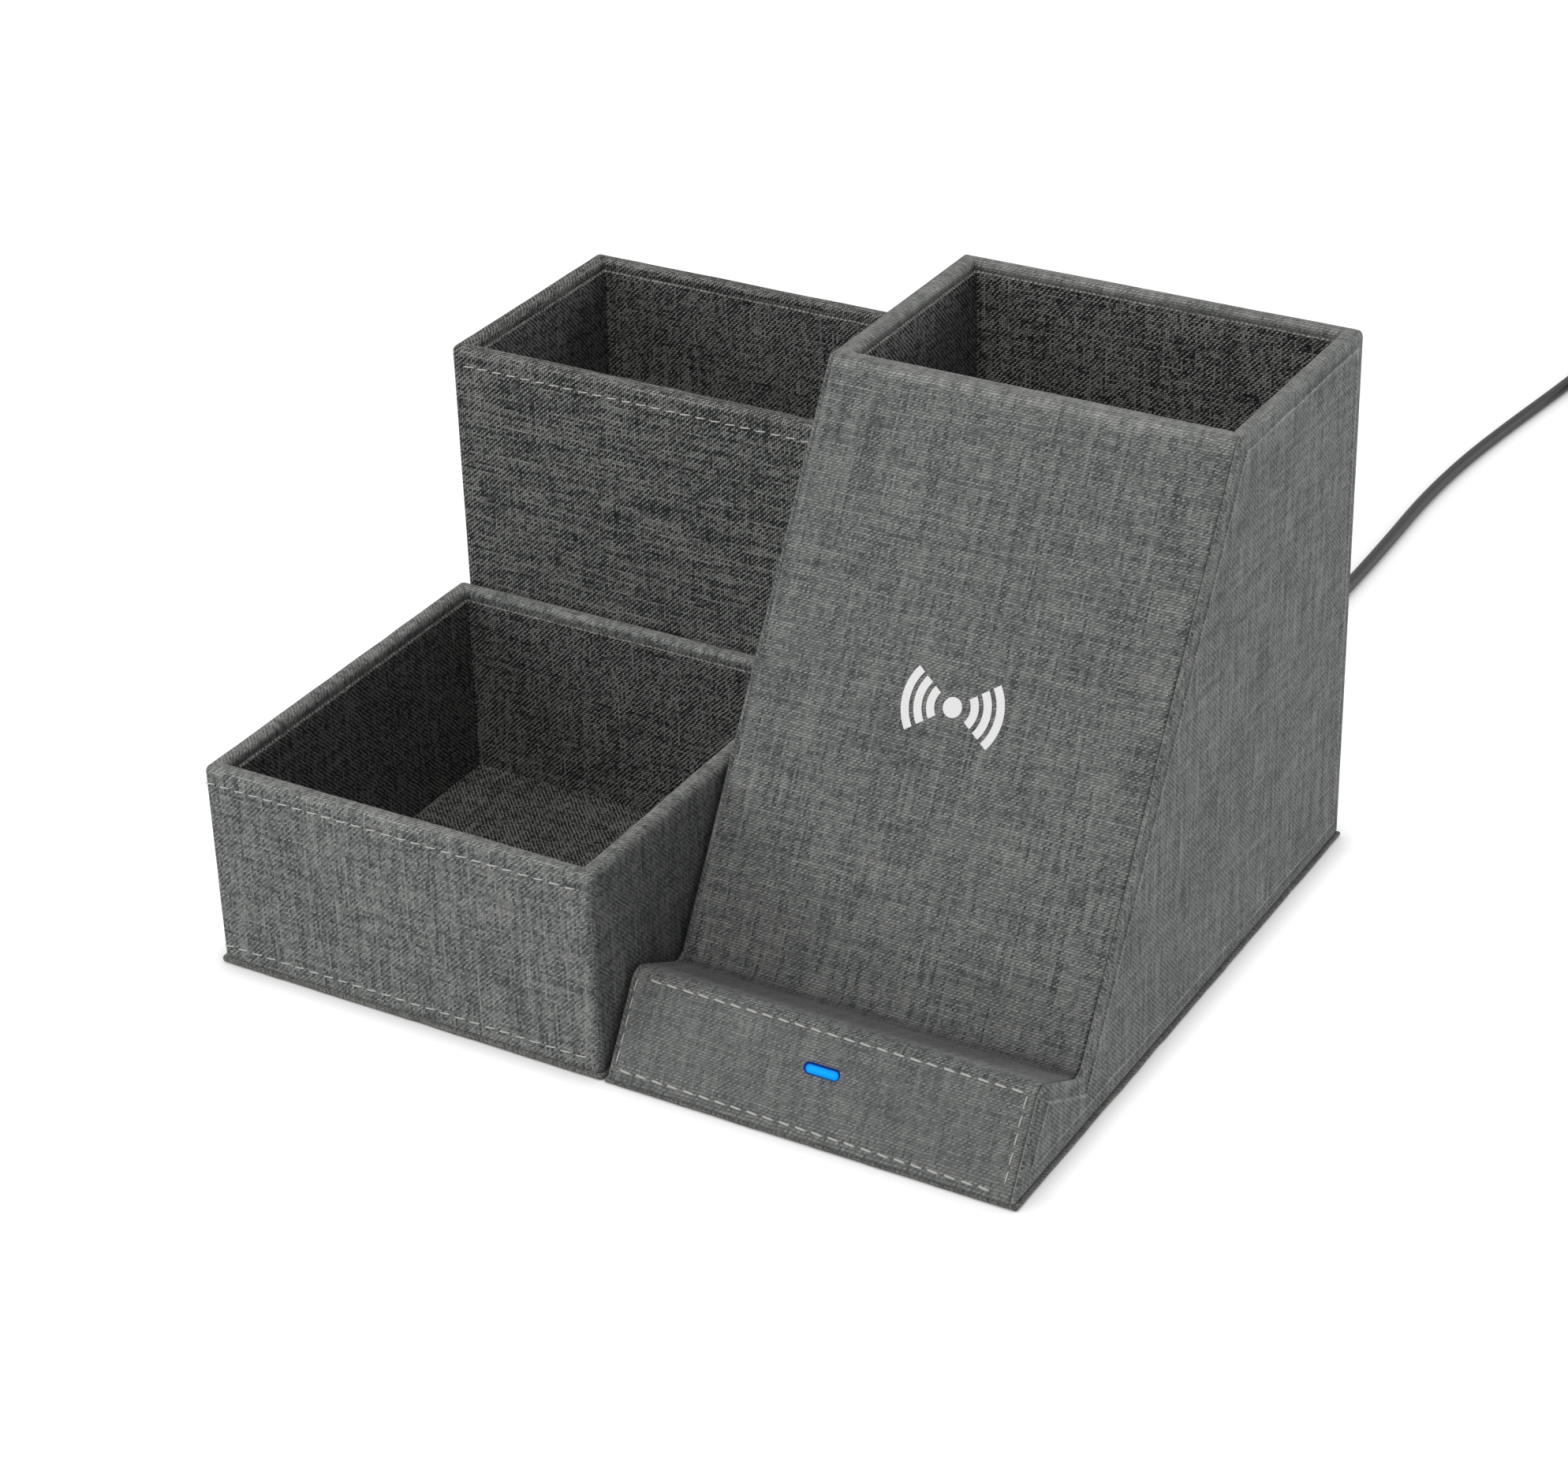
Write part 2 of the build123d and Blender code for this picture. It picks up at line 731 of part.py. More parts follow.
# The rest of the cable is put away in a coil: it winds in on the table, climbs, and winds out on top
turn_pitch = cord_diameter + turn_gap
coil_turns = 3
coil_start_radius = 26.0
climb_dip = 0.5  # how far the climbing half turn passes inside its neighbours
climb_steepness = 1.5  # the slope in the middle of the climb, over its mean slope
parallel = 1e-9  # two directions closer than this are the same
half_turns = 2 * coil_turns
along = (Vector(cord_route[-1]) - Vector(cord_route[-2])).normalized()
rightward = along.cross(Vector(0, 0, 1))
lead_end = Vector(cord_route[-1]) + cord_diameter * along
coil_centre = lead_end + coil_start_radius * rightward


def wound_point(half):
    """A point of the coil and its direction, at a whole number of half turns from the start."""
    inward = min(half, half_turns)
    outward = max(0, half - half_turns - 1)
    radius = coil_start_radius - turn_pitch / 2 * (inward - outward)
    height = turn_pitch if half > half_turns else 0
    side = -1 if half % 2 == 0 else 1
    return coil_centre + side * radius * rightward + Vector(0, 0, height), -side * along


def biarc(start, start_way, end, end_way):
    """Two arcs in a row that join two points and leave each along its own direction."""
    span = end - start
    both = start_way + end_way
    spread = 2 * (1 - start_way.dot(end_way))
    if spread < parallel:
        reach = span.dot(span) / (4 * span.dot(end_way))
    else:
        reach = (sqrt(span.dot(both) ** 2 + spread * span.dot(span)) - span.dot(both)) / spread
    joint = (start + end + reach * (start_way - end_way)) / 2
    chord = (joint - start).normalized()
    joint_way = 2 * start_way.dot(chord) * chord - start_way
    return [(start, joint, start_way), (joint, end, joint_way)]


# It ends in a tail that comes down to the height of the adapter plug, which lies beside it
adapter_z = adapter_grip_height / 2 + cord_lift
tail_length = 22.0
last_half = 2 * half_turns + 1
wound = [wound_point(half) for half in range(last_half + 1)]
climb_radius = coil_start_radius - turn_pitch / 2 * half_turns - climb_dip
climb_slope = climb_steepness * turn_pitch / (pi * climb_radius)
climb_way = (rightward + Vector(0, 0, climb_slope)).normalized()
climb_point = coil_centre + climb_radius * along + Vector(0, 0, turn_pitch / 2)
wound.insert(half_turns + 1, (climb_point, climb_way))
tail_start, tail_way = wound[-1]
tail_end = tail_start + tail_length * tail_way + Vector(0, 0, adapter_z - table_z - turn_pitch)
arcs = [arc for a, b in zip(wound, wound[1:]) for arc in biarc(*a, *b)]
arcs += biarc(tail_start, tail_way, tail_end, tail_way)
cord_end = tail_end + cord_diameter * tail_way
with BuildLine() as coil_line:
    Line(cord_route[-1], lead_end)
    for start, end, way in arcs:
        TangentArc(start, end, tangent=way)
    Line(tail_end, cord_end)
coil_path = coil_line.wire()
with BuildPart() as cord_coil:
    with BuildSketch(Plane(cord_route[-1], x_dir=rightward, z_dir=along)):
        Circle(cord_radius)
    sweep(path=coil_path)
save(cord_coil, "cord_coil")


def least_gap(line, steps):
    """The least free space between two turns of a wound tube, measured on points along its line."""
    points = [line @ (i / steps) for i in range(steps + 1)]
    spacing = line.length / steps
    apart = int(4 * cord_diameter / spacing) + 1
    nearest = min(
        (a - b).length for i, a in enumerate(points) for b in points[i + apart :]
    )
    return nearest - cord_diameter


print("coil length:", round(coil_path.length, 1), "cord length:", round(cord_path.length, 1))
print("least gap between turns:", round(least_gap(coil_path, 500), 2))
print("coil volume over section times length:", cord_coil.part.volume / (cord_section * coil_path.length))

# Adapter plug at the far end: tapered relief, moulded grip and hollow metal shell
relief_face = Plane(cord_end, x_dir=-rightward, z_dir=tail_way)
with BuildPart() as adapter_grip:
    with BuildSketch(relief_face):
        Circle(relief_radius)
    with BuildSketch(relief_face.offset(relief_length)):
        Circle(relief_base_share * adapter_grip_height)
    loft()
    with BuildSketch(relief_face.offset(relief_length)):
        RectangleRounded(adapter_grip_width, adapter_grip_height, grip_radius)
    extrude(amount=adapter_grip_length)
save(adapter_grip, "adapter_grip")
with BuildPart() as adapter_shell:
    with BuildSketch(relief_face.offset(relief_length + adapter_grip_length)):
        Rectangle(adapter_width, adapter_height)
        Rectangle(adapter_width - 2 * adapter_wall, adapter_height - 2 * adapter_wall, mode=Mode.SUBTRACT)
    extrude(amount=adapter_length)
save(adapter_shell, "adapter_shell")
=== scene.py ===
"""Looks of the charging station organizer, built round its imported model.

Metres. +Z is up and -Y is the front. The origin is on the table, at the middle of the footprint
of the three modules.
"""

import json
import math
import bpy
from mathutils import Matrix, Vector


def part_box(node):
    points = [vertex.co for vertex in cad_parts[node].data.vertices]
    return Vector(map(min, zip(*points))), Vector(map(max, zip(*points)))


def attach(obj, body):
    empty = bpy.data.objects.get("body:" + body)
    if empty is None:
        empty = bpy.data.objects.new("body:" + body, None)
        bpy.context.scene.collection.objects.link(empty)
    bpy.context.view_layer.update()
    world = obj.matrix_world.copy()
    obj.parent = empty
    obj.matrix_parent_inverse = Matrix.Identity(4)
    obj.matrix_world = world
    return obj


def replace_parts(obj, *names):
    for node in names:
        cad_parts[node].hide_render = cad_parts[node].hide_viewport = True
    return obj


bl_info = {
    "name": "Charging station organizer",
    "version": (1, 0, 0),
    "blender": (4, 5, 0),
    "location": "3D View > Sidebar > Organizer",
    "description": "Builds the fabric, stitching, light and cable of a desk organizer round its model",
    "category": "Object",
}

import bmesh
import bpy
from bpy.props import FloatProperty, FloatVectorProperty, IntProperty, PointerProperty
from bpy.types import Operator, Panel, PropertyGroup
from mathutils import Matrix, Vector, noise

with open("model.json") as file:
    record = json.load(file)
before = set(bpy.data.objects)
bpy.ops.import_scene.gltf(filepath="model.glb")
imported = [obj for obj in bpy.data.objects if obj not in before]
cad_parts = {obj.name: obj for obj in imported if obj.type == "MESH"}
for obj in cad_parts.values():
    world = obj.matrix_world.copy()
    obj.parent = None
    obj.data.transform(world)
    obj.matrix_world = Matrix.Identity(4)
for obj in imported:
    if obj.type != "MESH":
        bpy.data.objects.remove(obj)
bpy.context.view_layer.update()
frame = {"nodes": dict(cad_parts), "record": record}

MM = 0.001
BLACK = (0.0, 0.0, 0.0, 1.0)
ACROSS, UP, FORWARD, BACKWARD = (Vector(way) for way in ((1, 0, 0), (0, 0, 1), (0, -1, 0), (0, 1, 0)))

# Outer faces of the modules' fabric, as in the model
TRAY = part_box("tray_cover")
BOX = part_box("box_cover")
LEFT, FRONT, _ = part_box("stand_left_cover")[0]
RIGHT, REAR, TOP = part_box("stand_right_cover")[1]
MIDDLE = (LEFT + RIGHT) / 2
BASE_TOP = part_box("stand_base_board")[1].z

FOOT = BASE_TOP - 0.95 * MM  # where the fabric ends, beside its base board
WALL = 4.2 * MM  # a board with fabric on both sides
FABRIC_RETURN = 12 * MM  # how far fabric turns down inside a rim
RIM_RADIUS = 1.6 * MM
ROLLED_IN = 0.32 * MM  # how near its edge a strip of fabric rolls in

# Side view of the stand
FACE_ANGLE = math.radians(58.5)
LEDGE_TILT = math.radians(27.5)
LIP_LENGTH = 24.9 * MM
LEDGE_LENGTH = 20.45 * MM
LIP_RADIUS = 3.6 * MM
TROUGH_RADIUS = 3.2 * MM
REAR_RADIUS = 2.4 * MM
GROOVE = 1.3 * MM  # from the face of a side wall in to the fabric between the side walls
UPHILL = Vector((0, math.cos(FACE_ANGLE), math.sin(FACE_ANGLE)))
OUTWARD = Vector((0, -math.sin(FACE_ANGLE), math.cos(FACE_ANGLE)))

# Indicator light in the lip
LIGHT_SHARE = 0.573  # its middle, as a share of the lip's length
LENS_WIDTH = 8.6 * MM
LENS_RADIUS = 1.2 * MM
LENS_ROOM = 0.3 * MM  # by how much the slot in the fabric is wider and higher

# Route of the cable from the plug to its coil, as in the model, in millimetres
CORD_ROUTE = [
    (52.2, 116.6, 6.98),
    (52.2, 133.5, 6.98),
    (53.3, 156.0, 1.75),
    (55.0, 181.0, 1.75),
    (55.0, 207.0, 1.75),
    (54.4, 234.5, 1.75),
    (53.2, 262.5, 1.75),
    (54.1, 291.0, 1.75),
    (57.1, 319.0, 1.75),
    (60.8, 347.0, 1.75),
    (63.5, 372.1, 1.75),
]


def lining(tone):
    """Values of a lining fabric. The linings are one fabric and differ only in tone, as painted light and
    shade: the well's lining is set paler than the tray's and the box's.
    """
    return dict(
        tint=(tone, tone, tone), dark_tint=(0.05, 0.05, 0.05), relief=0.9, sheen=0.0,
        warp_streaks=0.3, weft_streaks=0.25, contrast=2.0, flecks=0.48, depth=1.0,
    )


# Each fabric's tints, sheen and softness, and what it changes in the weave. The covers of the tray, box,
# stand and sides are one fabric, and the linings another: their tints, sheen, contrast and depth differ as
# painted light and shade, the box and the linings set darker and with deeper weave shade
FABRICS = {
    "Lining fabric": lining(0.68),
    "Well lining fabric": lining(0.8),
    "Tray fabric": dict(
        tint=(0.91, 0.91, 0.91), soft=0.12, relief=0.3,
        warp_streaks=0.62, weft_streaks=0.42, contrast=0.85, flecks=0.75, depth=0.65,
    ),
    "Box fabric": dict(
        tint=(0.76, 0.765, 0.755), dark_tint=(0.3, 0.3, 0.3), relief=0.9, sheen=0.03, turned=True,
        warp_streaks=0.5, weft_streaks=0.25, contrast=1.8, flecks=0.48, depth=1.0,
    ),
    "Stand fabric": dict(
        tint=(0.96, 0.96, 0.96), soft=0.2, relief=0.22,
        warp_streaks=0.58, weft_streaks=0.46, contrast=0.78, flecks=0.62, depth=0.5, rows=0.4,
    ),
    "Side fabric": dict(
        tint=(0.88, 0.88, 0.88), soft=0.2, relief=0.38,
        warp_streaks=0.75, weft_streaks=0.5, contrast=0.8, flecks=0.55, depth=0.6,
    ),
    "Base fabric": dict(
        tint=(0.78, 0.77, 0.73), soft=0.4, relief=0.2,
        warp_streaks=0.5, weft_streaks=0.4, flecks=0.6, depth=0.7,
    ),
}
# The lip's thread is the same thread as the others, set a little darker as painted shade
THREAD_TONES = {"Stitch thread": 1.0, "Lip thread": 0.95}

# Name, two tones, grain, roughness, relief and metallic part of what the model's own pieces are made of
FINISHES = {
    "fibreboard": ("Fibreboard", (0.36, 0.24, 0.14), (0.24, 0.15, 0.09), 1500.0, 0.85, 0.3, 0.0),
    "pad_rubber": ("Pad foam", (0.03, 0.03, 0.03), (0.05, 0.05, 0.05), 2500.0, 0.9, 0.5, 0.0),
    "magnet_nickel": ("Nickel plate", (0.6, 0.6, 0.57), (0.5, 0.5, 0.48), 900.0, 0.3, 0.0, 1.0),
    "coil_copper": ("Enamelled copper", (0.55, 0.22, 0.1), (0.4, 0.15, 0.07), 2000.0, 0.35, 0.0, 1.0),
    "ferrite": ("Ferrite", (0.04, 0.04, 0.045), (0.06, 0.06, 0.06), 1500.0, 0.6, 0.2, 0.0),
    "holder_plastic": ("Holder plastic", (0.04, 0.04, 0.04), (0.055, 0.055, 0.055), 1200.0, 0.55, 0.15, 0.0),
    "screw_steel": ("Screw steel", (0.5, 0.5, 0.5), (0.4, 0.4, 0.4), 1200.0, 0.35, 0.0, 1.0),
    "circuit_green": ("Solder mask", (0.02, 0.12, 0.05), (0.015, 0.08, 0.035), 700.0, 0.4, 0.1, 0.0),
    "plug_steel": ("Drawn steel", (0.6, 0.6, 0.6), (0.5, 0.5, 0.5), 1500.0, 0.3, 0.0, 1.0),
    "plug_plastic": ("Plug plastic", (0.03, 0.03, 0.032), (0.045, 0.045, 0.048), 1300.0, 0.5, 0.2, 0.0),
}


# ---------------------------------------------------------------- settings


def length(name, default, description):
    """A length that a user may change."""
    return FloatProperty(
        name=name, description=description, default=default, min=0, unit="LENGTH", precision=5
    )


def colour(name, default, description):
    """A colour that a user may change."""
    return FloatVectorProperty(
        name=name, description=description, default=default, size=4, min=0, max=1, subtype="COLOR"
    )


class ClothSettings(PropertyGroup):
    """Yarns of the woven fabric"""

    warp_pitch: length("Warp pitch", 0.578 * MM, "Distance between upright yarns")
    weft_pitch: length("Weft pitch", 0.602 * MM, "Distance between level yarns")
    light_yarn: colour("Light yarn", (0.47, 0.48, 0.46, 1), "Colour of the light yarns")
    dark_yarn: colour("Dark yarn", (0.02, 0.03, 0.034, 1), "Colour of the dark yarns")
    # Also the colour of the painted highlights on edges that catch the light
    worn_and_lit_yarn: colour("Worn and lit yarn", (0.4, 0.4, 0.365, 1), "Colour of yarns that are rubbed along edges")
    thickness: length("Thickness", 0.42 * MM, "Thickness of the fabric")
    slackness: length("Slackness", 0.09 * MM, "How far the fabric stands off its board in places")


class StitchSettings(PropertyGroup):
    """Decorative stitching on the fronts"""

    pitch: length("Pitch", 4.0 * MM, "Distance from one stitch to the next")
    stitch: length("Stitch", 2.75 * MM, "Length of one stitch")
    thread: length("Thread", 0.34 * MM, "Thickness of the thread")
    thread_colour: colour("Thread colour", (0.68, 0.68, 0.65, 1), "Colour of the thread")


class LightSettings(PropertyGroup):
    """Indicator light in the lip"""

    glow: colour("Glow", (0.0, 0.42, 0.95, 1), "Colour of the indicator light")
    strength: FloatProperty(
        name="Strength", description="Strength of the light", default=1.0, min=0, max=20
    )


class CableSettings(PropertyGroup):
    """Cable and its stored coil"""

    diameter: length("Diameter", 3.4 * MM, "Diameter of the cable")
    turn_gap: length("Turn gap", 0.55 * MM, "Free space between turns of the coil")
    coil_radius: length("Coil radius", 26 * MM, "Radius of the coil's outer turn")
    turns: IntProperty(
        name="Turns", description="Turns of the coil in each layer", default=3, min=1, max=8
    )
    jacket: colour("Jacket", (0.012, 0.0125, 0.0135, 1), "Colour of the cable's jacket")


# ---------------------------------------------------------------- node trees


def reckon(operation, swapped=False):
    """A way to reckon with numbers of a node tree."""

    def result(first, *others):
        values = (*others, first) if swapped else (first, *others)
        return number(first.tree, "ShaderNodeMath", dict(enumerate(values)), operation=operation)

    return result


class Number:
    """A value that runs through a node tree. Sums with numbers add the nodes that work them out."""

    __add__, __sub__, __rsub__ = reckon("ADD"), reckon("SUBTRACT"), reckon("SUBTRACT", swapped=True)
    __mul__, __truediv__, __mod__ = reckon("MULTIPLY"), reckon("DIVIDE"), reckon("FLOORED_MODULO")
    __pow__, __abs__, root = reckon("POWER"), reckon("ABSOLUTE"), reckon("SQRT")
    floor, fraction = reckon("FLOOR"), reckon("FRACT")
    sine, cosine = reckon("SINE"), reckon("COSINE")
    at_least, at_most = reckon("MAXIMUM"), reckon("MINIMUM")

    def __init__(self, tree, socket):
        self.tree = tree
        self.socket = socket


def feed(tree, inputs, values):
    """Joins or sets inputs of a node, each by its name or place."""
    for key, value in values.items():
        if isinstance(value, Number):
            value = value.socket
        if isinstance(value, bpy.types.NodeSocket):
            tree.links.new(value, inputs[key])
        else:
            inputs[key].default_value = value


def add(tree, kind, inputs=None, **settings):
    """Adds a node to a tree, sets it up, and joins or sets its inputs."""
    node = tree.nodes.new(kind)
    for name, value in settings.items():
        setattr(node, name, value)
    feed(tree, node.inputs, inputs or {})
    return node


def number(tree, kind, inputs=None, result=0, **settings):
    """A result of a new node, as a number to reckon with."""
    return Number(tree, add(tree, kind, inputs, **settings).outputs[result])


def blend_colour(tree, factor, first, second, mode="MIX"):
    """A mix of two colours."""
    inputs = {0: factor, 6: first, 7: second}
    return add(tree, "ShaderNodeMix", inputs, data_type="RGBA", blend_type=mode).outputs[2]


def blend_value(factor, first, second):
    """A mix of two numbers."""
    return number(factor.tree, "ShaderNodeMix", {0: factor, 2: first, 3: second})


def remap(value, low, high, to_low=0.0, to_high=1.0):
    """A number smoothly moved from one range to another."""
    inputs = {0: value, 1: low, 2: high, 3: to_low, 4: to_high}
    return number(value.tree, "ShaderNodeMapRange", inputs, interpolation_type="SMOOTHSTEP")


def pair(tree, x, y, z=0.0):
    """Numbers joined into a vector."""
    return add(tree, "ShaderNodeCombineXYZ", {0: x, 1: y, 2: z}).outputs[0]


def split(tree, vector):
    """The three numbers of a vector."""
    return [Number(tree, part) for part in add(tree, "ShaderNodeSeparateXYZ", {0: vector}).outputs]


def grain(tree, vector, scale=1.0, detail=2.0):
    """Soft noise on a vector, from 0 to 1."""
    return number(tree, "ShaderNodeTexNoise", {"Vector": vector, "Scale": scale, "Detail": detail})


def marked(tree, name, result="Fac"):
    """What a piece's own points or corners are marked with, by name."""
    return number(tree, "ShaderNodeAttribute", result=result, attribute_name=name)


def bumps(tree, height, strength, distance):
    """Normals of a fine relief."""
    inputs = {"Strength": strength, "Distance": distance, "Height": height}
    return add(tree, "ShaderNodeBump", inputs).outputs[0]


def seen_directly(tree):
    """1 where the stage is seen by the camera, or in or through something that the camera sees."""
    path = add(tree, "ShaderNodeLightPath").outputs
    camera, glossy, through = (
        Number(tree, path[f"Is {ray} Ray"]) for ray in ("Camera", "Glossy", "Transmission")
    )
    return camera.at_least(glossy.at_least(through))


def new_group(name, inputs, outputs):
    """A node group with named inputs, each with its default, and named outputs, each with its kind.

    An input without a default is a vector. Any other is of the kind of its default.
    """
    group = bpy.data.node_groups.new(name, "ShaderNodeTree")
    for label, default in inputs.items():
        kind = "Vector" if default is None else "Float" if isinstance(default, float) else "Color"
        socket = group.interface.new_socket(label, in_out="INPUT", socket_type=f"NodeSocket{kind}")
        if default is not None:
            socket.default_value = default
    for label, kind in outputs.items():
        group.interface.new_socket(label, in_out="OUTPUT", socket_type=f"NodeSocket{kind}")
    given = {socket.name: Number(group, socket) for socket in group.nodes.new("NodeGroupInput").outputs}
    return group, given, group.nodes.new("NodeGroupOutput").inputs


def plain_weave():
    """Node group of a plain weave of melange yarns: its colour and its relief."""
    name = "Plain weave"
    if name in bpy.data.node_groups:
        return bpy.data.node_groups[name]
    inputs = {
        "Cloth": None,
        "Warp Pitch": 0.578 * MM,
        "Weft Pitch": 0.602 * MM,
        "Light Yarn": (0.3, 0.3, 0.3, 1),
        "Dark Yarn": (0.04, 0.04, 0.04, 1),
        "Warp Streaks": 0.6,
        "Weft Streaks": 0.6,
        "Contrast": 1.0,
        "Worn And Lit Yarn": (0.3, 0.3, 0.27, 1),
        "Wear And Highlight": 0.0,
        "Painted Shade": 0.0,
        "Flecks": 0.7,
        "Depth": 0.9,
        "Softness": 0.0,
        "Rows": 0.0,
        "Twist": 0.3,
    }
    tree, given, result = new_group(name, inputs, {"Color": "Color", "Relief": "Float"})
    drift_scale, fibre_scale = 260.0, 9000.0
    warp_reach, weft_reach, warp_height_share, overlap = 0.84, 0.82, 0.93, 0.08
    warp_lift, weft_lift, fibre_share, middle_tone, even_tone = 0.3, 0.64, 0.6, 0.47, 0.72

    x, y, _ = split(tree, given["Cloth"])
    drift = {"Vector": given["Cloth"], "Scale": drift_scale, "Detail": 1.0}
    drift = split(tree, add(tree, "ShaderNodeTexNoise", drift).outputs[1])
    warp = x / given["Warp Pitch"] + drift[0]
    weft = y / given["Weft Pitch"] + drift[1]
    column, row = warp.floor(), weft.floor()

    def bulge(place, power):
        """Height over a float, from its middle line to where it dips under, at 1."""
        return (abs(place).at_most(1.0) * (math.pi / 2)).cosine() ** power

    def yarn_float(run, start, side, reach, lean):
        """Height of the floats along one set of yarns, and the number of the float."""
        run = run + start
        past = run % 2.0 - 1.0
        side = side + past * lean
        return bulge(past / reach, 0.7) * bulge(side * 2.0, 0.9), (run * 0.5).floor()

    weft_height, weft_float = yarn_float(
        warp + row, -0.5, weft.fraction() - 0.5, weft_reach, given["Twist"]
    )
    warp_height, warp_float = yarn_float(weft + column, 0.5, warp.fraction() - 0.5, warp_reach, 0.0)
    warp_height = warp_height * warp_height_share
    weft_on_top = remap(weft_height - warp_height, -overlap, overlap)
    dome = weft_height.at_least(warp_height)

    # Melange: each yarn changes tone along its own length, and each float a little by itself
    def streaks(yarn, run, start, amount):
        """Tone along single yarns, and along bands of a few yarns that were spun alike."""
        single = pair(tree, yarn * 0.83, run * 75.0, start)
        band = pair(tree, yarn * 0.36, run * 34.0, start + 4.0)
        return (grain(tree, single) * 1.3 + grain(tree, band) - 1.15) * amount

    def chance(vector):
        """A number from 0 to 1 that is even within each float."""
        return number(tree, "ShaderNodeTexWhiteNoise", {0: vector})

    warp_streak = streaks(column, y, 0.0, given["Warp Streaks"])
    weft_streak = streaks(row, x, 9.0, given["Weft Streaks"])
    warp_tone = warp_streak * 2.0 + weft_streak
    weft_tone = weft_streak * 2.0 + warp_streak
    single = blend_value(
        weft_on_top, chance(pair(tree, column, warp_float, 5.0)), chance(pair(tree, weft_float, row))
    )
    fibres = grain(tree, given["Cloth"], fibre_scale, 1.0)
    own_tone = (single - 0.5) * given["Flecks"] + (fibres - 0.5) * fibre_share
    tone = blend_value(weft_on_top, warp_tone + warp_lift + own_tone, weft_tone + weft_lift + own_tone)
    tone = (tone - middle_tone) * given["Contrast"] + middle_tone
    tone = number(tree, "ShaderNodeClamp", {0: tone})

    def worn_and_lit(share):
        """The yarns' colour at a share from dark to light, paled by wear and by painted highlights."""
        yarn = blend_colour(tree, share, given["Dark Yarn"], given["Light Yarn"])
        return blend_colour(tree, given["Wear And Highlight"], yarn, given["Worn And Lit Yarn"], mode="ADD")

    # Painted shade in the dips of the weave and between rows of weft: Depth sets how dark the dips are
    between_rows = remap(abs(weft.fraction() - 0.5), 0.15, 0.5) * given["Rows"]
    gap = remap(dome, 0.2, 0.8, 1.0 - given["Depth"], 1.0) * (1.0 - between_rows)
    woven_colour = blend_colour(tree, gap, BLACK, worn_and_lit(tone))
    even_colour = blend_colour(tree, even_tone, BLACK, worn_and_lit(0.5))
    soft = blend_colour(tree, given["Softness"], woven_colour, even_colour)
    # Painted shade: the marked points are darkened towards black
    feed(tree, result, {"Color": blend_colour(tree, given["Painted Shade"], soft, BLACK), "Relief": dome})
    return tree


def uneven_edge_mask():
    """Node group of a soft uneven mask, from a piece's own edge mark."""
    name = "Uneven wear"
    if name in bpy.data.node_groups:
        return bpy.data.node_groups[name]
    inputs = {"Place": None, "Mark": 0.0, "Scale": 300.0}
    tree, given, result = new_group(name, inputs, {"Mask": "Float"})
    patch = remap(grain(tree, given["Place"], given["Scale"], 4.0), 0.3, 0.7, 0.35, 1.0)
    feed(tree, result, {"Mask": patch * given["Mark"]})
    return tree


# ---------------------------------------------------------------- materials


def start_material(name, roughness, **constants):
    """An empty material with its shader. Numbers given by name are set on the shader's own sockets."""
    material = bpy.data.materials.new(name)
    material.use_nodes = True
    shader = material.node_tree.nodes["Principled BSDF"]
    shader.inputs["Roughness"].default_value = roughness
    for label, value in constants.items():
        shader.inputs[label.replace("_", " ").title().replace("Ior", "IOR")].default_value = value
    return material, material.node_tree, shader.inputs


def shaded(tones, share):
    """A colour's own red, green and blue, each times a share."""
    return [tone * by for tone, by in zip(tones[:3], share)] + [1]


def woven(name, tint, dark_tint=None, soft=0.0, relief=0.45, sheen=0.12, turned=False, **weave):
    """Melange fabric: the weave in colour and relief, paler where edges are worn and under painted
    highlights, darker under painted shade.

    soft evens out all tones, sheen is the fibres' own sheen, and turned lays the fabric on its side.
    All other values go to inputs of the weave with the same names.
    """
    cloth = bpy.context.scene.organizer_cloth
    edge_paling_share, painted_shade_share = 0.24, 0.8
    material, tree, shader = start_material(name, 0.9, sheen_weight=sheen, sheen_roughness=0.6, ior=1.35)
    place = marked(tree, "cloth", "Vector")
    if turned:
        x, y, _ = split(tree, place)
        place = pair(tree, y, x)
    smoothed = marked(tree, "smoothed")
    position = add(tree, "ShaderNodeTexCoord").outputs["Object"]
    inputs = {"Place": position, "Mark": marked(tree, "rubbed")}
    edge_paling = number(tree, "ShaderNodeGroup", inputs, node_tree=uneven_edge_mask())
    inputs = {
        "Cloth": place,
        "Warp Pitch": cloth.warp_pitch,
        "Weft Pitch": cloth.weft_pitch,
        "Light Yarn": shaded(cloth.light_yarn, tint),
        "Dark Yarn": shaded(cloth.dark_yarn, dark_tint or tint),
        "Worn And Lit Yarn": shaded(cloth.worn_and_lit_yarn, tint),
        # Paler from wear, and from painted highlights on edges that catch the light
        "Wear And Highlight": edge_paling * edge_paling_share,
        # Painted shade, from the piece's marks
        "Painted Shade": marked(tree, "tucked") * painted_shade_share,
        "Softness": blend_value(smoothed, soft, 1.0),
        **{label.replace("_", " ").title(): value for label, value in weave.items()},
    }
    result = add(tree, "ShaderNodeGroup", inputs, node_tree=plain_weave()).outputs
    normal = bumps(tree, result["Relief"], (1.0 - smoothed) * relief, 0.16 * MM)
    feed(tree, shader, {"Base Color": result["Color"], "Normal": normal})
    return material


def fabric(name):
    """One of the organizer's fabrics, made when it is first asked for."""
    return bpy.data.materials.get(name) or woven(name, **FABRICS[name])


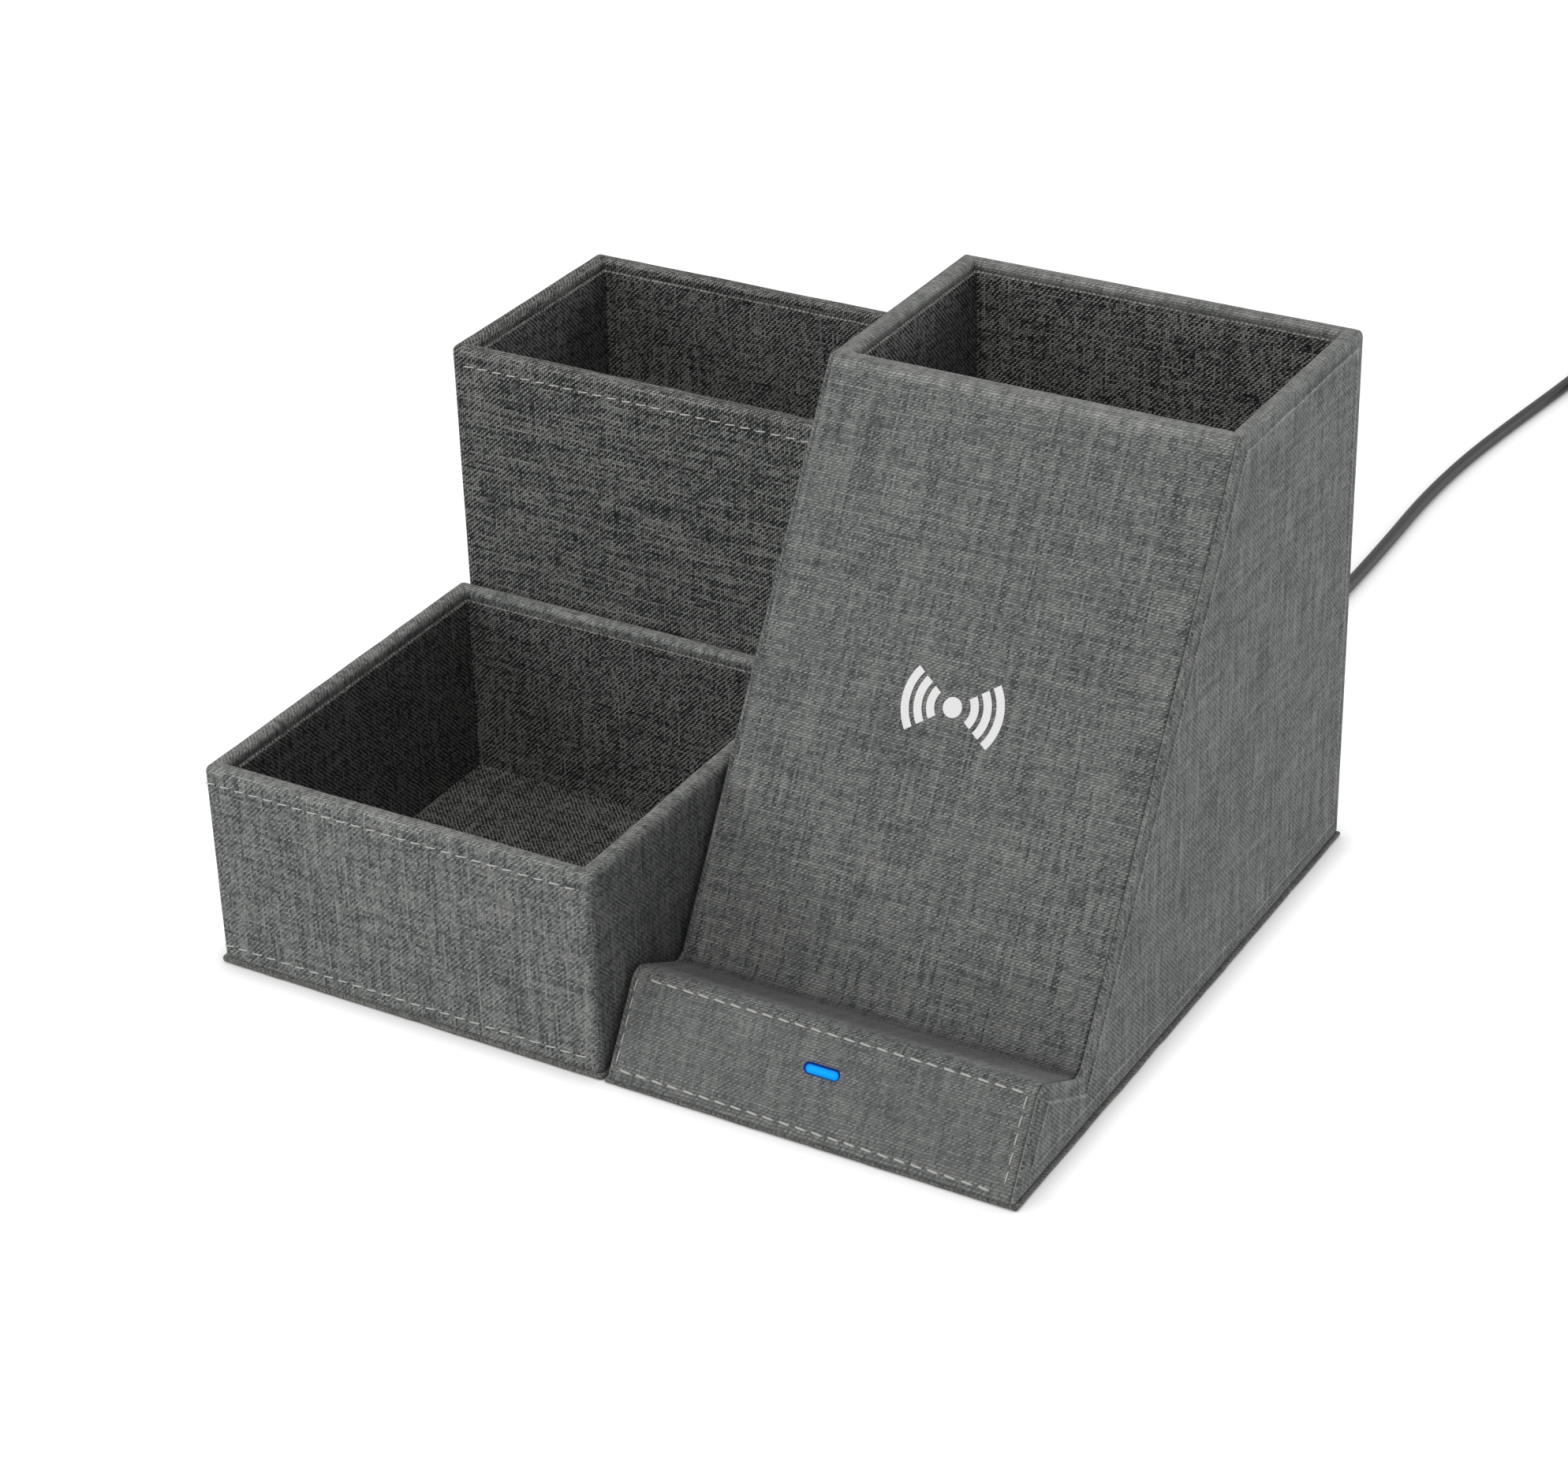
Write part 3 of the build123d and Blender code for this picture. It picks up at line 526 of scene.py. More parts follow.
def plain(name, base, second, scale, roughness, relief, metallic=0.0):
    """A moulded, cut or plated finish: two tones in soft grain, and a fine relief."""
    material, tree, shader = start_material(name, roughness, metallic=metallic)
    soft = grain(tree, add(tree, "ShaderNodeTexCoord").outputs["Object"], scale, 6.0)
    values = {
        "Base Color": blend_colour(tree, soft, (*base, 1), (*second, 1)),
        "Roughness": remap(soft, 0.2, 0.8, roughness * 0.9, min(1.0, roughness * 1.1)),
        "Normal": bumps(tree, soft, relief, 0.05 * MM),
    }
    feed(tree, shader, values)
    return material


def spun_thread(name):
    """Thread twisted along each stitch, made when it is first asked for."""
    if name in bpy.data.materials:
        return bpy.data.materials[name]
    tone, ply_shade_share, ply_pitch = THREAD_TONES[name], 0.55, 0.7 * MM
    light = shaded(bpy.context.scene.organizer_stitches.thread_colour, [tone] * 3)
    material, tree, shader = start_material(name, 0.75, sheen_weight=0.15)
    along, turn, _ = split(tree, marked(tree, "cloth", "Vector"))
    ply = abs((along * (2 * math.pi / ply_pitch) + turn).sine())
    # Painted shade in the grooves between the thread's plies
    colours = blend_colour(tree, remap(ply, 0.0, 0.5), shaded(light, [ply_shade_share] * 3), light)
    feed(tree, shader, {"Base Color": colours, "Normal": bumps(tree, ply, 0.6, 0.1 * MM)})
    return material


def printed_white():
    """White ink on the weave, a little thinner where the weave dips."""
    material, tree, shader = start_material("Printed white", 0.6)
    cloth = bpy.context.scene.organizer_cloth
    inputs = {
        "Cloth": marked(tree, "cloth", "Vector"),
        "Warp Pitch": cloth.warp_pitch,
        "Weft Pitch": cloth.weft_pitch,
    }
    height = number(tree, "ShaderNodeGroup", inputs, "Relief", node_tree=plain_weave())
    ink = blend_colour(tree, remap(height, 0.05, 0.4), (0.8, 0.8, 0.8, 1), (0.98, 0.98, 0.98, 1))
    feed(tree, shader, {"Base Color": ink, "Normal": bumps(tree, height, 0.3, 0.1 * MM)})
    return material


def lit_lens(half):
    """Lens whose lit core sits a little to the right and low in it. It darkens to deep blue at its edge.

    half is the distance from the middle of the lens to where its round ends start.
    """
    settings = bpy.context.scene.organizer_light
    cast = 5.0  # how much stronger the light is that it casts than what the camera sees
    core = (0.2 * MM, -0.1 * MM)
    material, tree, shader = start_material("Lit lens", 0.4, specular_ior_level=0.08)
    seen = number(tree, "ShaderNodeLightPath", result="Is Camera Ray")
    x, y, _ = split(tree, marked(tree, "cloth", "Vector"))
    past = (abs(x - core[0]) - (half - 0.1 * MM)).at_least(0.0)
    away = (past**2.0 + (y + -core[1]) ** 2.0).root()
    glow = list(settings.glow)
    lit = blend_colour(tree, remap(away, 0.0, 0.85 * MM), glow, [glow[0], glow[1] * 0.75, glow[2], 1])
    edge = remap(away, LENS_RADIUS - 0.45 * MM, LENS_RADIUS - 0.08 * MM)
    values = {
        "Base Color": (0.0, 0.01, 0.05, 1),
        "Emission Color": blend_colour(tree, edge, lit, [0.001, glow[1] * 0.035, glow[2] * 0.15, 1]),
        "Emission Strength": blend_value(seen, cast * settings.strength, settings.strength),
    }
    feed(tree, shader, values)
    return material


# ---------------------------------------------------------------- shapes


def clamp(value):
    """A number held between 0 and 1."""
    return max(0.0, min(1.0, value))


def piece(name, vertices, faces, cloth, material, body, slot, smooth=True, **marks):
    """A mesh object that rides on a body. cloth holds one place on the fabric for each face corner.

    The marks of wear and painted highlight, of painted shade and of smoothing each hold a number for
    each point: how pale it is from wear and from a painted highlight, how dark from painted shade in
    folds, grooves and rims, and how far its weave is drawn flat.
    """
    mesh = bpy.data.meshes.new(name)
    mesh.from_pydata([tuple(v) for v in vertices], [], faces)
    mesh.attributes.new("cloth", "FLOAT_VECTOR", "CORNER")
    for label in ("rubbed", "tucked", "smoothed"):
        mesh.attributes.new(label, "FLOAT", "POINT")
        if label in marks:
            mesh.attributes[label].data.foreach_set("value", marks[label])
    flat = [x for corner in cloth for x in (corner[0], corner[1], 0.0)]
    mesh.attributes["cloth"].data.foreach_set("vector", flat)
    mesh.polygons.foreach_set("use_smooth", [smooth] * len(mesh.polygons))
    mesh.materials.append(material)
    mesh.validate()
    obj = bpy.data.objects.new(name, mesh)
    bpy.context.collection.objects.link(obj)
    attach(obj, body)
    return obj


def cover(*args, **marks):
    """A sheet of cover fabric, with its thickness on the side away from the eye."""
    obj = piece(*args, "cover_fabric", **marks)
    solid = obj.modifiers.new("Fabric thickness", "SOLIDIFY")
    solid.thickness = bpy.context.scene.organizer_cloth.thickness
    solid.offset = -1
    return obj


def ripple(point, size, seed):
    """Smooth noise at a point, from -1 to 1, with waves of about one size."""
    return noise.noise(point / size + Vector((seed, 3.1 * seed, 7.7 * seed)))


def slack(point, seed):
    """How far fabric stands off its board at a point."""
    share = 0.65 * ripple(point, 17 * MM, seed) + 0.35 * ripple(point, 5 * MM, seed + 0.5)
    return bpy.context.scene.organizer_cloth.slackness * share


def steps(start, end, ends=(0.25, 0.6, 1.1, 2.0), stride=3.0):
    """Places from start to end, close together near both ends. ends and stride are in millimetres."""
    span = abs(end - start)
    near = [e * MM for e in ends if e * MM < 0.4 * span]
    last = near[-1] if near else 0
    inner = max(1, round((span - 2 * last) / (stride * MM)))
    places = [0.0, *near, *(last + (span - 2 * last) * k / inner for k in range(1, inner))]
    places += [span - n for n in reversed(near)] + [span]
    sign = 1 if end >= start else -1
    return [start + sign * p for p in places]


def distances(points):
    """How far along a path each of its points lies."""
    along = [0.0]
    for a, b in zip(points, points[1:]):
        along.append(along[-1] + math.dist(a, b))
    return along


def quarter(count):
    """Angles over a quarter turn."""
    return [math.pi / 2 * k / count for k in range(count + 1)]


def inward_of(way):
    """The inward side of an edge of an outline that runs clockwise."""
    return Vector((way.y, -way.x))


def inset_corners(corners, distance):
    """The corners of a closed outline that runs clockwise, with every edge moved inward."""
    moved = []
    count = len(corners)
    for k in range(count):
        before, here, after = (Vector(corners[(k + s) % count]) for s in (-1, 0, 1))
        inward, next_inward = (inward_of(way.normalized()) for way in (here - before, after - here))
        half = (inward + next_inward).normalized()
        moved.append(here + half * (distance / half.dot(inward)))
    return moved


def run_marks(corners, stride=3.0):
    """Where the straight runs of an outline are divided, as shares of each run."""
    marks = []
    for here, after in zip(corners, [*corners[1:], corners[0]]):
        span = (Vector(after) - Vector(here)).length
        marks.append([place / span for place in steps(0, span, stride=stride)[1:-1]])
    return marks


def rounded(corners, radii, marks, bend_steps=8, closed=True):
    """Points along an outline with rounded corners.

    Each comes with its inward way, the number of its corner or run, and whether it is on a bend.
    """
    count = len(corners)
    arcs = []
    for k in range(count):
        here = Vector(corners[k])
        if not closed and k in (0, count - 1):
            way = Vector(corners[1]) - here if k == 0 else here - Vector(corners[k - 1])
            arcs.append([(here, inward_of(way.normalized()))])
            continue
        a = (here - Vector(corners[k - 1])).normalized()
        b = (Vector(corners[(k + 1) % count]) - here).normalized()
        turn = a.angle_signed(b)
        reach = radii[k] * math.tan(abs(turn) / 2)
        side = 1 if turn > 0 else -1
        centre = here - a * reach + side * radii[k] * inward_of(a)
        arc = []
        for s in range(bend_steps + 1):
            out = Matrix.Rotation(-turn * s / bend_steps, 2) @ (here - a * reach - centre)
            arc.append((centre + out, -side * out.normalized()))
        arcs.append(arc)
    points = []
    for k in range(count):
        points += [(p, inward, k, True) for p, inward in arcs[k]]
        if k == count - 1 and not closed:
            break
        start, end = arcs[k][-1][0], arcs[(k + 1) % count][0][0]
        inward = inward_of((end - start).normalized())
        points += [(start.lerp(end, mark), inward, k, False) for mark in marks[k]]
    return points


def quilt(rows, width, cloth_at, closed=True, flip=False):
    """Faces between rows of points, and the place on the cloth of each of their corners.

    cloth_at gives the place for a row and column, and for the column where the face starts. A closed
    row has one column more, which is its first point again.
    """
    faces, cloth = [], []
    for i in range(rows - 1):
        for j in range(width if closed else width - 1):
            square = [(i, j), (i, j + 1), (i + 1, j + 1), (i + 1, j)]
            if flip:
                square.reverse()
            faces.append([a * width + b % width for a, b in square])
            cloth += [cloth_at(a, b, i, j) for a, b in square]
    return faces, cloth


def box_corners(low, high):
    """The corners of a box seen from above, clockwise from the front left."""
    return [Vector(c) for c in ((low.x, low.y), (low.x, high.y), (high.x, high.y), (high.x, low.y))]


def side_corners():
    """Corners of the stand's side view, clockwise from the foot of the lip."""
    foot = Vector((FRONT, BASE_TOP))
    lip_top = foot + LIP_LENGTH * Vector((math.cos(FACE_ANGLE), math.sin(FACE_ANGLE)))
    trough = lip_top + LEDGE_LENGTH * Vector((math.cos(LEDGE_TILT), -math.sin(LEDGE_TILT)))
    face_top = Vector((trough.x + (TOP - trough.y) / math.tan(FACE_ANGLE), TOP))
    return [foot, lip_top, trough, face_top, Vector((REAR, TOP)), Vector((REAR, BASE_TOP))]


def slot_outline(half, radius):
    """The outline of a slot with round ends, half of whose straight part is given."""
    turns = [math.pi * k / 12 - math.pi / 2 for k in range(13)]
    return [
        (end * (half + radius * math.cos(turn)), end * radius * math.sin(turn))
        for end in (1, -1)
        for turn in turns
    ]


def shade_inside_rim(depth):
    """Painted shade on fabric turned down inside a rim, at a depth below the rim's top."""
    return 0.5 * clamp((depth - 0.7 * MM) / (1.5 * MM))


def foot_shade(z):
    """Painted shade on the lower edge of the fabric, where it ends on the base."""
    return 0.8 * clamp(1 - (z - FOOT) / (0.4 * MM))


def settle(point):
    """Brings the lower edge of the stand's fabric down onto its base, along the slope at the lip."""
    point.z = max(point.z, BASE_TOP + 0.02 * MM)
    drop = (BASE_TOP - FOOT) * clamp(1 - (point.z - BASE_TOP) / (2.5 * MM))
    point.z -= drop
    point.y -= drop / math.tan(FACE_ANGLE) * clamp(1 - (point.y - FRONT) / (8 * MM))
    return point


def wrapped_walls(name, low, high, material, body, seed, fold=None):
    """Fabric round the four walls of a box: up the outside, over the rim, and down inside.

    fold is how far from the left the edge of the fabric shows on the front, where it overlaps.
    """
    top, r = high.z, RIM_RADIUS
    rows = [(0.5 * MM, FOOT), (0.14 * MM, FOOT + 0.15 * MM), (0, FOOT + 0.6 * MM)]
    rows += [(0, z) for z in steps(low.z + 1.6 * MM, top - r, ends=(0.8,), stride=4.0)]
    rows += [(r - r * math.cos(turn), top - r + r * math.sin(turn)) for turn in quarter(8)[1:]]
    rows.append((WALL / 2, top + 0.03 * MM))
    rows += [(WALL - r + r * math.sin(turn), top - r + r * math.cos(turn)) for turn in quarter(8)]
    rows += [(WALL, z) for z in steps(top - r - 1 * MM, top - FABRIC_RETURN, ends=(), stride=4.0)]
    corners = box_corners(low, high)
    marks = run_marks(corners)
    vertices, rubbed, tucked = [], [], []
    for inset, z in rows:
        outline = inset_corners(corners, inset)
        ring = rounded(outline, [max(r - inset, 0.12 * MM)] * 4, marks)
        on_rim = inset > 0.02 * MM and z > top - r
        inside = inset > 0.6 * WALL
        lift = clamp((z - top + r) / r)
        for p, inward, k, arc in ring:
            point = Vector((p.x, p.y, z))
            out = Vector((*inward, 0)) * (-1 if inset < WALL / 2 else 1)
            way = (out * (1 - lift) + UP * lift).normalized()
            amount = slack(point, seed) * clamp((z - low.z) / (2 * MM))
            if on_rim:
                # Mitred fold at the corner of the rim
                away = p - outline[k]
                across = abs(away.x - away.y * (1 if k in (0, 2) else -1)) / math.sqrt(2)
                crease = math.exp(-(((across if arc else away.length) / (0.3 * MM)) ** 2))
                amount += 0.1 * MM * ripple(point, 9 * MM, seed + 4)
                amount -= 0.13 * MM * crease * (0.35 + 0.65 * inset / WALL)
            if fold and inset < 0.02 * MM and abs(p.y - low.y) < 0.01 * MM:
                amount -= 0.16 * MM * math.exp(-(((p.x - low.x - fold) / (0.3 * MM)) ** 2))
            vertices.append(point + way * amount)
            # Rims paler from wear and from a painted highlight; painted shade deep inside the rim, along the
            # foot, and on the right-hand wall beside the stand
            rubbed.append(1.5 * clamp((z - top + 1.3 * r) / r) if inset < WALL - 0.2 * MM else 0.0)
            shade = 0.3 * max(0.0, -inward.x) * clamp((top - z) / (4 * MM))
            tucked.append(shade_inside_rim(top - z) if inside else max(shade, foot_shade(z)))
    width = len(ring)
    reach = distances(rows)
    columns = [(k, arc) for _, _, k, arc in ring]
    # The first half of each bend belongs to the wall before it
    walls = [
        (k - 1) % 4 if arc and columns[: j + 1].count((k, True)) <= 4 else k
        for j, (k, arc) in enumerate(columns)
    ]

    wall_shift = 0.37  # gives each wall a stretch of weave of its own

    def cloth_at(a, b, i, j):
        """Place on the fabric, which starts anew on each wall."""
        along = vertices[a * width + b % width][1 if walls[j] in (0, 2) else 0]
        return (-along if walls[j] == 3 else along) + wall_shift * walls[j], reach[a]

    faces, cloth = quilt(len(rows), width, cloth_at, flip=True)
    return cover(name, vertices, faces, cloth, material, body, rubbed=rubbed, tucked=tucked)


def padded_board(node, material, body, edge, seed, parts=None):
    """Fabric-covered boards with soft edges, in place of a node. parts gives boards that make one piece."""
    low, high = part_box(node)
    bm = bmesh.new()
    for start, end in parts or [(low, high)]:
        board = bmesh.new()
        bmesh.ops.create_cube(board, size=1.0)
        size = end - start
        for v in board.verts:
            v.co = start + Vector(((v.co[k] + 0.5) * size[k] for k in range(3)))
        bmesh.ops.bevel(board, geom=board.edges[:], offset=edge, segments=4, profile=0.5, affect="EDGES")
        for axis in range(3):
            if size[axis] <= 4 * MM:
                continue
            normal = Vector([float(k == axis) for k in range(3)])
            for place in steps(start[axis], end[axis], ends=(1.0,), stride=5.0)[1:-1]:
                geometry = board.verts[:] + board.edges[:] + board.faces[:]
                bmesh.ops.bisect_plane(board, geom=geometry, plane_co=normal * place, plane_no=normal)
        mesh = bpy.data.meshes.new("board")
        board.to_mesh(mesh)
        board.free()
        bm.from_mesh(mesh)
        bpy.data.meshes.remove(mesh)
    bm.verts.index_update()
    bm.normal_update()
    normals = [v.normal.copy() for v in bm.verts]
    for v, normal in zip(bm.verts, normals):
        v.co += normal * slack(v.co, seed)
    faces, cloth = [], []
    for f in bm.faces:
        faces.append([v.index for v in f.verts])
        facing = max(range(3), key=lambda k: abs(f.normal[k]))
        across, up = ((1, 2), (0, 2), (0, 1))[facing]
        sign = -1 if facing == 1 else 1
        cloth += [(v.co[across] * sign + 0.11 * facing, v.co[up]) for v in f.verts]
    vertices = [v.co.copy() for v in bm.verts]
    bm.free()
    upright = high.z - low.z > 5 * MM
    # Painted highlight along the top edge of an upright lining
    rubbed = [2.0 if upright and v.z > high.z - 0.25 * MM else 0.0 for v in vertices]
    obj = piece(f"{node}_fabric", vertices, faces, cloth, material, body, "lining_fabric", rubbed=rubbed)
    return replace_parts(obj, node)


def wrapped_base(name, node, body, seed, corner):
    """Base board with fabric drawn round its edge, a little wavy where it is glued down."""
    low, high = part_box(node)
    middle, half, depth = 0.66 * MM, 0.62 * MM, 0.75 * MM
    corners = box_corners(low, high)
    rows = [(3.0 * MM, middle - half), (1.6 * MM, middle - half)]
    for k in range(9):
        turn = -math.pi / 2 + math.pi * k / 8
        rows.append((depth * (1 - math.cos(turn)), middle + half * math.sin(turn)))
    rows += [(1.5 * MM, middle + half), (1.6 * MM, high.z - 0.05 * MM), (3.0 * MM, high.z - 0.05 * MM)]
    marks = run_marks(corners, 1.6)
    vertices = []
    for inset, z in rows:
        ring = rounded(inset_corners(corners, inset), [max(corner - inset, 0.3 * MM)] * 4, marks)
        edge = max(0.0, 1 - inset / (1.6 * MM))
        for p, inward, _, _ in ring:
            point = Vector((p.x, p.y, z))
            wave = 0.16 * ripple(point, 11 * MM, seed) + 0.12 * ripple(point, 3.2 * MM, seed + 1)
            point -= Vector((*inward, 0)) * wave * MM * edge
            lift = 0.12 * ripple(Vector((p.x, p.y, 0)), 7 * MM, seed + 2) * MM * edge
            point.z = max(0.03 * MM, min(point.z + lift, high.z + 0.05 * MM))
            vertices.append(point)
    width = len(ring)
    reach = distances(rows)

    def cloth_at(a, b, i, j):
        """Place on the fabric, along the edge of the board."""
        run = vertices[(i + 1) * width + j] - vertices[(i + 1) * width + (j + 1) % width]
        return vertices[a * width + b % width][0 if abs(run.x) > abs(run.y) else 1], reach[a]

    faces, cloth = quilt(len(rows), width, cloth_at, flip=True)
    for row, way in ((0, 1), (len(rows) - 1, -1)):
        faces.append([row * width + j for j in range(width)][::way])
        cloth += [(vertices[v].x, vertices[v].y) for v in faces[-1]]
    obj = piece(name, vertices, faces, cloth, fabric("Base fabric"), body, "base_fabric")
    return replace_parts(obj, node)


def thread_line(name, start, end, up, body, skew, seed, stout=1.0, thread="Stitch thread"):
    """A row of stitches along a line, each a twisted thread that dips into the fabric at both ends."""
    settings = bpy.context.scene.organizer_stitches
    radius = stout * settings.thread / 2
    line = (end - start).length
    ahead = (end - start).normalized()
    right = ahead.cross(up).normalized()
    around, rings = 8, 9
    turns = [2 * math.pi * a / around for a in range(around + 1)]
    vertices, faces, cloth = [], [], []
    for s in range(int((line - settings.stitch) / settings.pitch) + 1):
        shake = ripple(Vector((s * 7 * MM, 0, 0)), 3 * MM, seed)
        place = s * settings.pitch + 0.1 * MM * shake
        size = settings.stitch * (1 + 0.06 * shake)
        base = len(vertices)
        for i in range(rings):
            part = i / (rings - 1)
            middle = start.lerp(end, max(0.0, min(place + size * part, line)) / line)
            ending = math.sqrt(min(1.0, 4.5 * min(part, 1 - part) + 0.08))
            lean = (part - 0.5) * skew * size + 0.05 * MM * shake
            centre = middle + up * radius * (0.95 * ending - 0.45) + right * lean
            thick = radius * (0.35 + 0.65 * ending)
            for turn in turns[:-1]:
                round_it = 1.12 * math.cos(turn) * right + 0.8 * math.sin(turn) * up
                vertices.append(centre + thick * round_it)
        new_faces, new_cloth = quilt(
            rings, around, lambda a, b, i, j: (size * a / (rings - 1), turns[b])
        )
        new_faces += [list(range(around))[::-1], list(range((rings - 1) * around, rings * around))]
        faces += [[base + v for v in face] for face in new_faces]
        cloth += new_cloth + [(0.0, 0.0)] * (2 * around)
    return piece(name, vertices, faces, cloth, spun_thread(thread), body, "cover_fabric")


def strip(
    name, outline, radii, ends, set_down, material, seed,
    flip=False, dark=lambda p: 0.0, roll=lambda p: 0.42 * MM, flat=lambda p: 0.0,
):
    """Fabric in one strip that follows an outline and rolls in at both ends.

    ends gives the strip's two ends at a point of the outline, set_down turns a place on the outline
    and along the strip into a place on the organizer, dark says how much painted shade a point gets,
    roll how far the ends roll in there, and flat how far the weave is drawn flat.
    """
    path = rounded(outline, radii, run_marks(outline, 2.5), bend_steps=10, closed=False)
    first, last = ends(path[0][0])
    places = steps(first, last, ends=(0.12, 0.28, 0.5, 0.9, 1.6))
    shares = [(c - first) / (last - first) for c in places]
    left_roll = 0.35  # the left end rolls in less than the right end
    vertices, rubbed, tucked, smoothed, across = [], [], [], [], []
    for p, inward, _, _ in path:
        low, high = ends(p)
        for share in shares:
            c = low + (high - low) * share
            point = set_down(p, c)
            within = set_down(p + inward, c) - point
            end = min(c - low, high - c)
            sink = roll(p) * (left_roll if c - low < high - c else 1.0)
            drop = sink * math.exp(-((end / ROLLED_IN) ** 1.3))
            vertices.append(settle(point - within * (slack(point, seed) - drop)))
            # Rim crests paler from wear and from a painted highlight
            near_top = max(0.0, 1 - abs(p.y - TOP + 0.6 * MM) / (2.2 * MM))
            rubbed.append(min(2.2, 2.6 * near_top))
            smoothed.append(flat(p))
            # Painted shade where the ends roll in, from dark, and along the foot
            seam_shade = 0.9 * sink / MM * math.exp(-((end / ROLLED_IN) ** 2))
            tucked.append(max(min(1.0, seam_shade + dark(p)), foot_shade(vertices[-1].z)))
            across.append(c)
    width = len(shares)
    along = distances([p for p, _, _, _ in path])
    faces, cloth = quilt(
        len(path), width, lambda a, b, i, j: (-across[a * width + b], along[a]), closed=False, flip=flip
    )
    return cover(
        name, vertices, faces, cloth, material, "stand", rubbed=rubbed, tucked=tucked, smoothed=smoothed
    )


def cut_slot(obj, centre, normal, wide, high, depth=1.5 * MM):
    """Cuts a rounded slot through a piece."""
    up = normal.cross(ACROSS).normalized()
    outline = [centre + ACROSS * x + up * y for x, y in slot_outline((wide - high) / 2, high / 2)]
    bm = bmesh.new()
    near = [bm.verts.new(p - normal * depth) for p in outline]
    far = [bm.verts.new(p + normal * depth) for p in outline]
    bm.faces.new(near)
    bm.faces.new(far)
    for k in range(len(near)):
        n = (k + 1) % len(near)
        bm.faces.new((near[k], near[n], far[n], far[k]))
    bmesh.ops.recalc_face_normals(bm, faces=bm.faces[:])
    mesh = bpy.data.meshes.new("slot_cutter")
    bm.to_mesh(mesh)
    bm.free()
    cutter = bpy.data.objects.new("slot_cutter", mesh)
    bpy.context.collection.objects.link(cutter)
    cut = obj.modifiers.new("Slot", "BOOLEAN")
    cut.operation = "DIFFERENCE"
    cut.solver = "EXACT"
    cut.object = cutter
    bpy.context.view_layer.update()
    graph = bpy.context.evaluated_depsgraph_get()
    finished = bpy.data.meshes.new_from_object(
        obj.evaluated_get(graph), preserve_all_data_layers=True, depsgraph=graph
    )
    obj.modifiers.clear()
    obj.data = finished
    bpy.data.objects.remove(cutter)
    bpy.data.meshes.remove(mesh)


def light_middle():
    """Middle of the indicator light on the lip's face."""
    return Vector((MIDDLE, FRONT, BASE_TOP)) + UPHILL * (LIGHT_SHARE * LIP_LENGTH)


# ---------------------------------------------------------------- operators


class ORGANIZER_OT_module_walls(Operator):
    """Wrap the low tray and the tall box in fabric"""

    bl_idname = "organizer.module_walls"
    bl_label = "Module walls"

    def execute(self, context):
        tray = wrapped_walls("tray_fabric", *TRAY, fabric("Tray fabric"), "low_tray", 2.0)
        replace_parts(tray, "tray_cover")
        box = wrapped_walls("box_fabric", *BOX, fabric("Box fabric"), "tall_box", 5.0, fold=3.6 * MM)
        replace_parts(box, "box_cover")
        return {"FINISHED"}


class ORGANIZER_OT_linings(Operator):
    """Line the insides and lay the floors"""

    bl_idname = "organizer.linings"
    bl_label = "Linings and floors"

    def execute(self, context):
        edge, floor_edge = 0.38 * MM, 0.5 * MM
        for prefix, body, cloth in (
            ("tray", "low_tray", "Lining fabric"),
            ("box", "tall_box", "Lining fabric"),
            ("well", "stand", "Well lining fabric"),
        ):
            material = fabric(cloth)
            padded_board(f"{prefix}_front_lining", material, body, edge, 11.0)
            padded_board(f"{prefix}_rear_lining", material, body, edge, 12.0)
            front_low, front_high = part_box(f"{prefix}_front_lining")
            thickness = front_high.y - front_low.y
            low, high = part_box(f"{prefix}_side_linings")
            parts = [
                (low.copy(), Vector((low.x + thickness, high.y, high.z))),
                (Vector((high.x - thickness, low.y, low.z)), high.copy()),
            ]
            padded_board(f"{prefix}_side_linings", material, body, edge, 13.0, parts)
            padded_board(f"{prefix}_floor", material, body, floor_edge, 17.0)
        return {"FINISHED"}


class ORGANIZER_OT_bases(Operator):
    """Wrap the three base boards"""

    bl_idname = "organizer.bases"
    bl_label = "Bases"

    def execute(self, context):
        wrapped_base("tray_base_fabric", "tray_base_board", "low_tray", 21.0, 1.3 * MM)
        wrapped_base("box_base_fabric", "box_base_board", "tall_box", 24.0, 1.3 * MM)
        wrapped_base("stand_base_fabric", "stand_base_board", "stand", 27.0, 0.5 * MM)
        return {"FINISHED"}


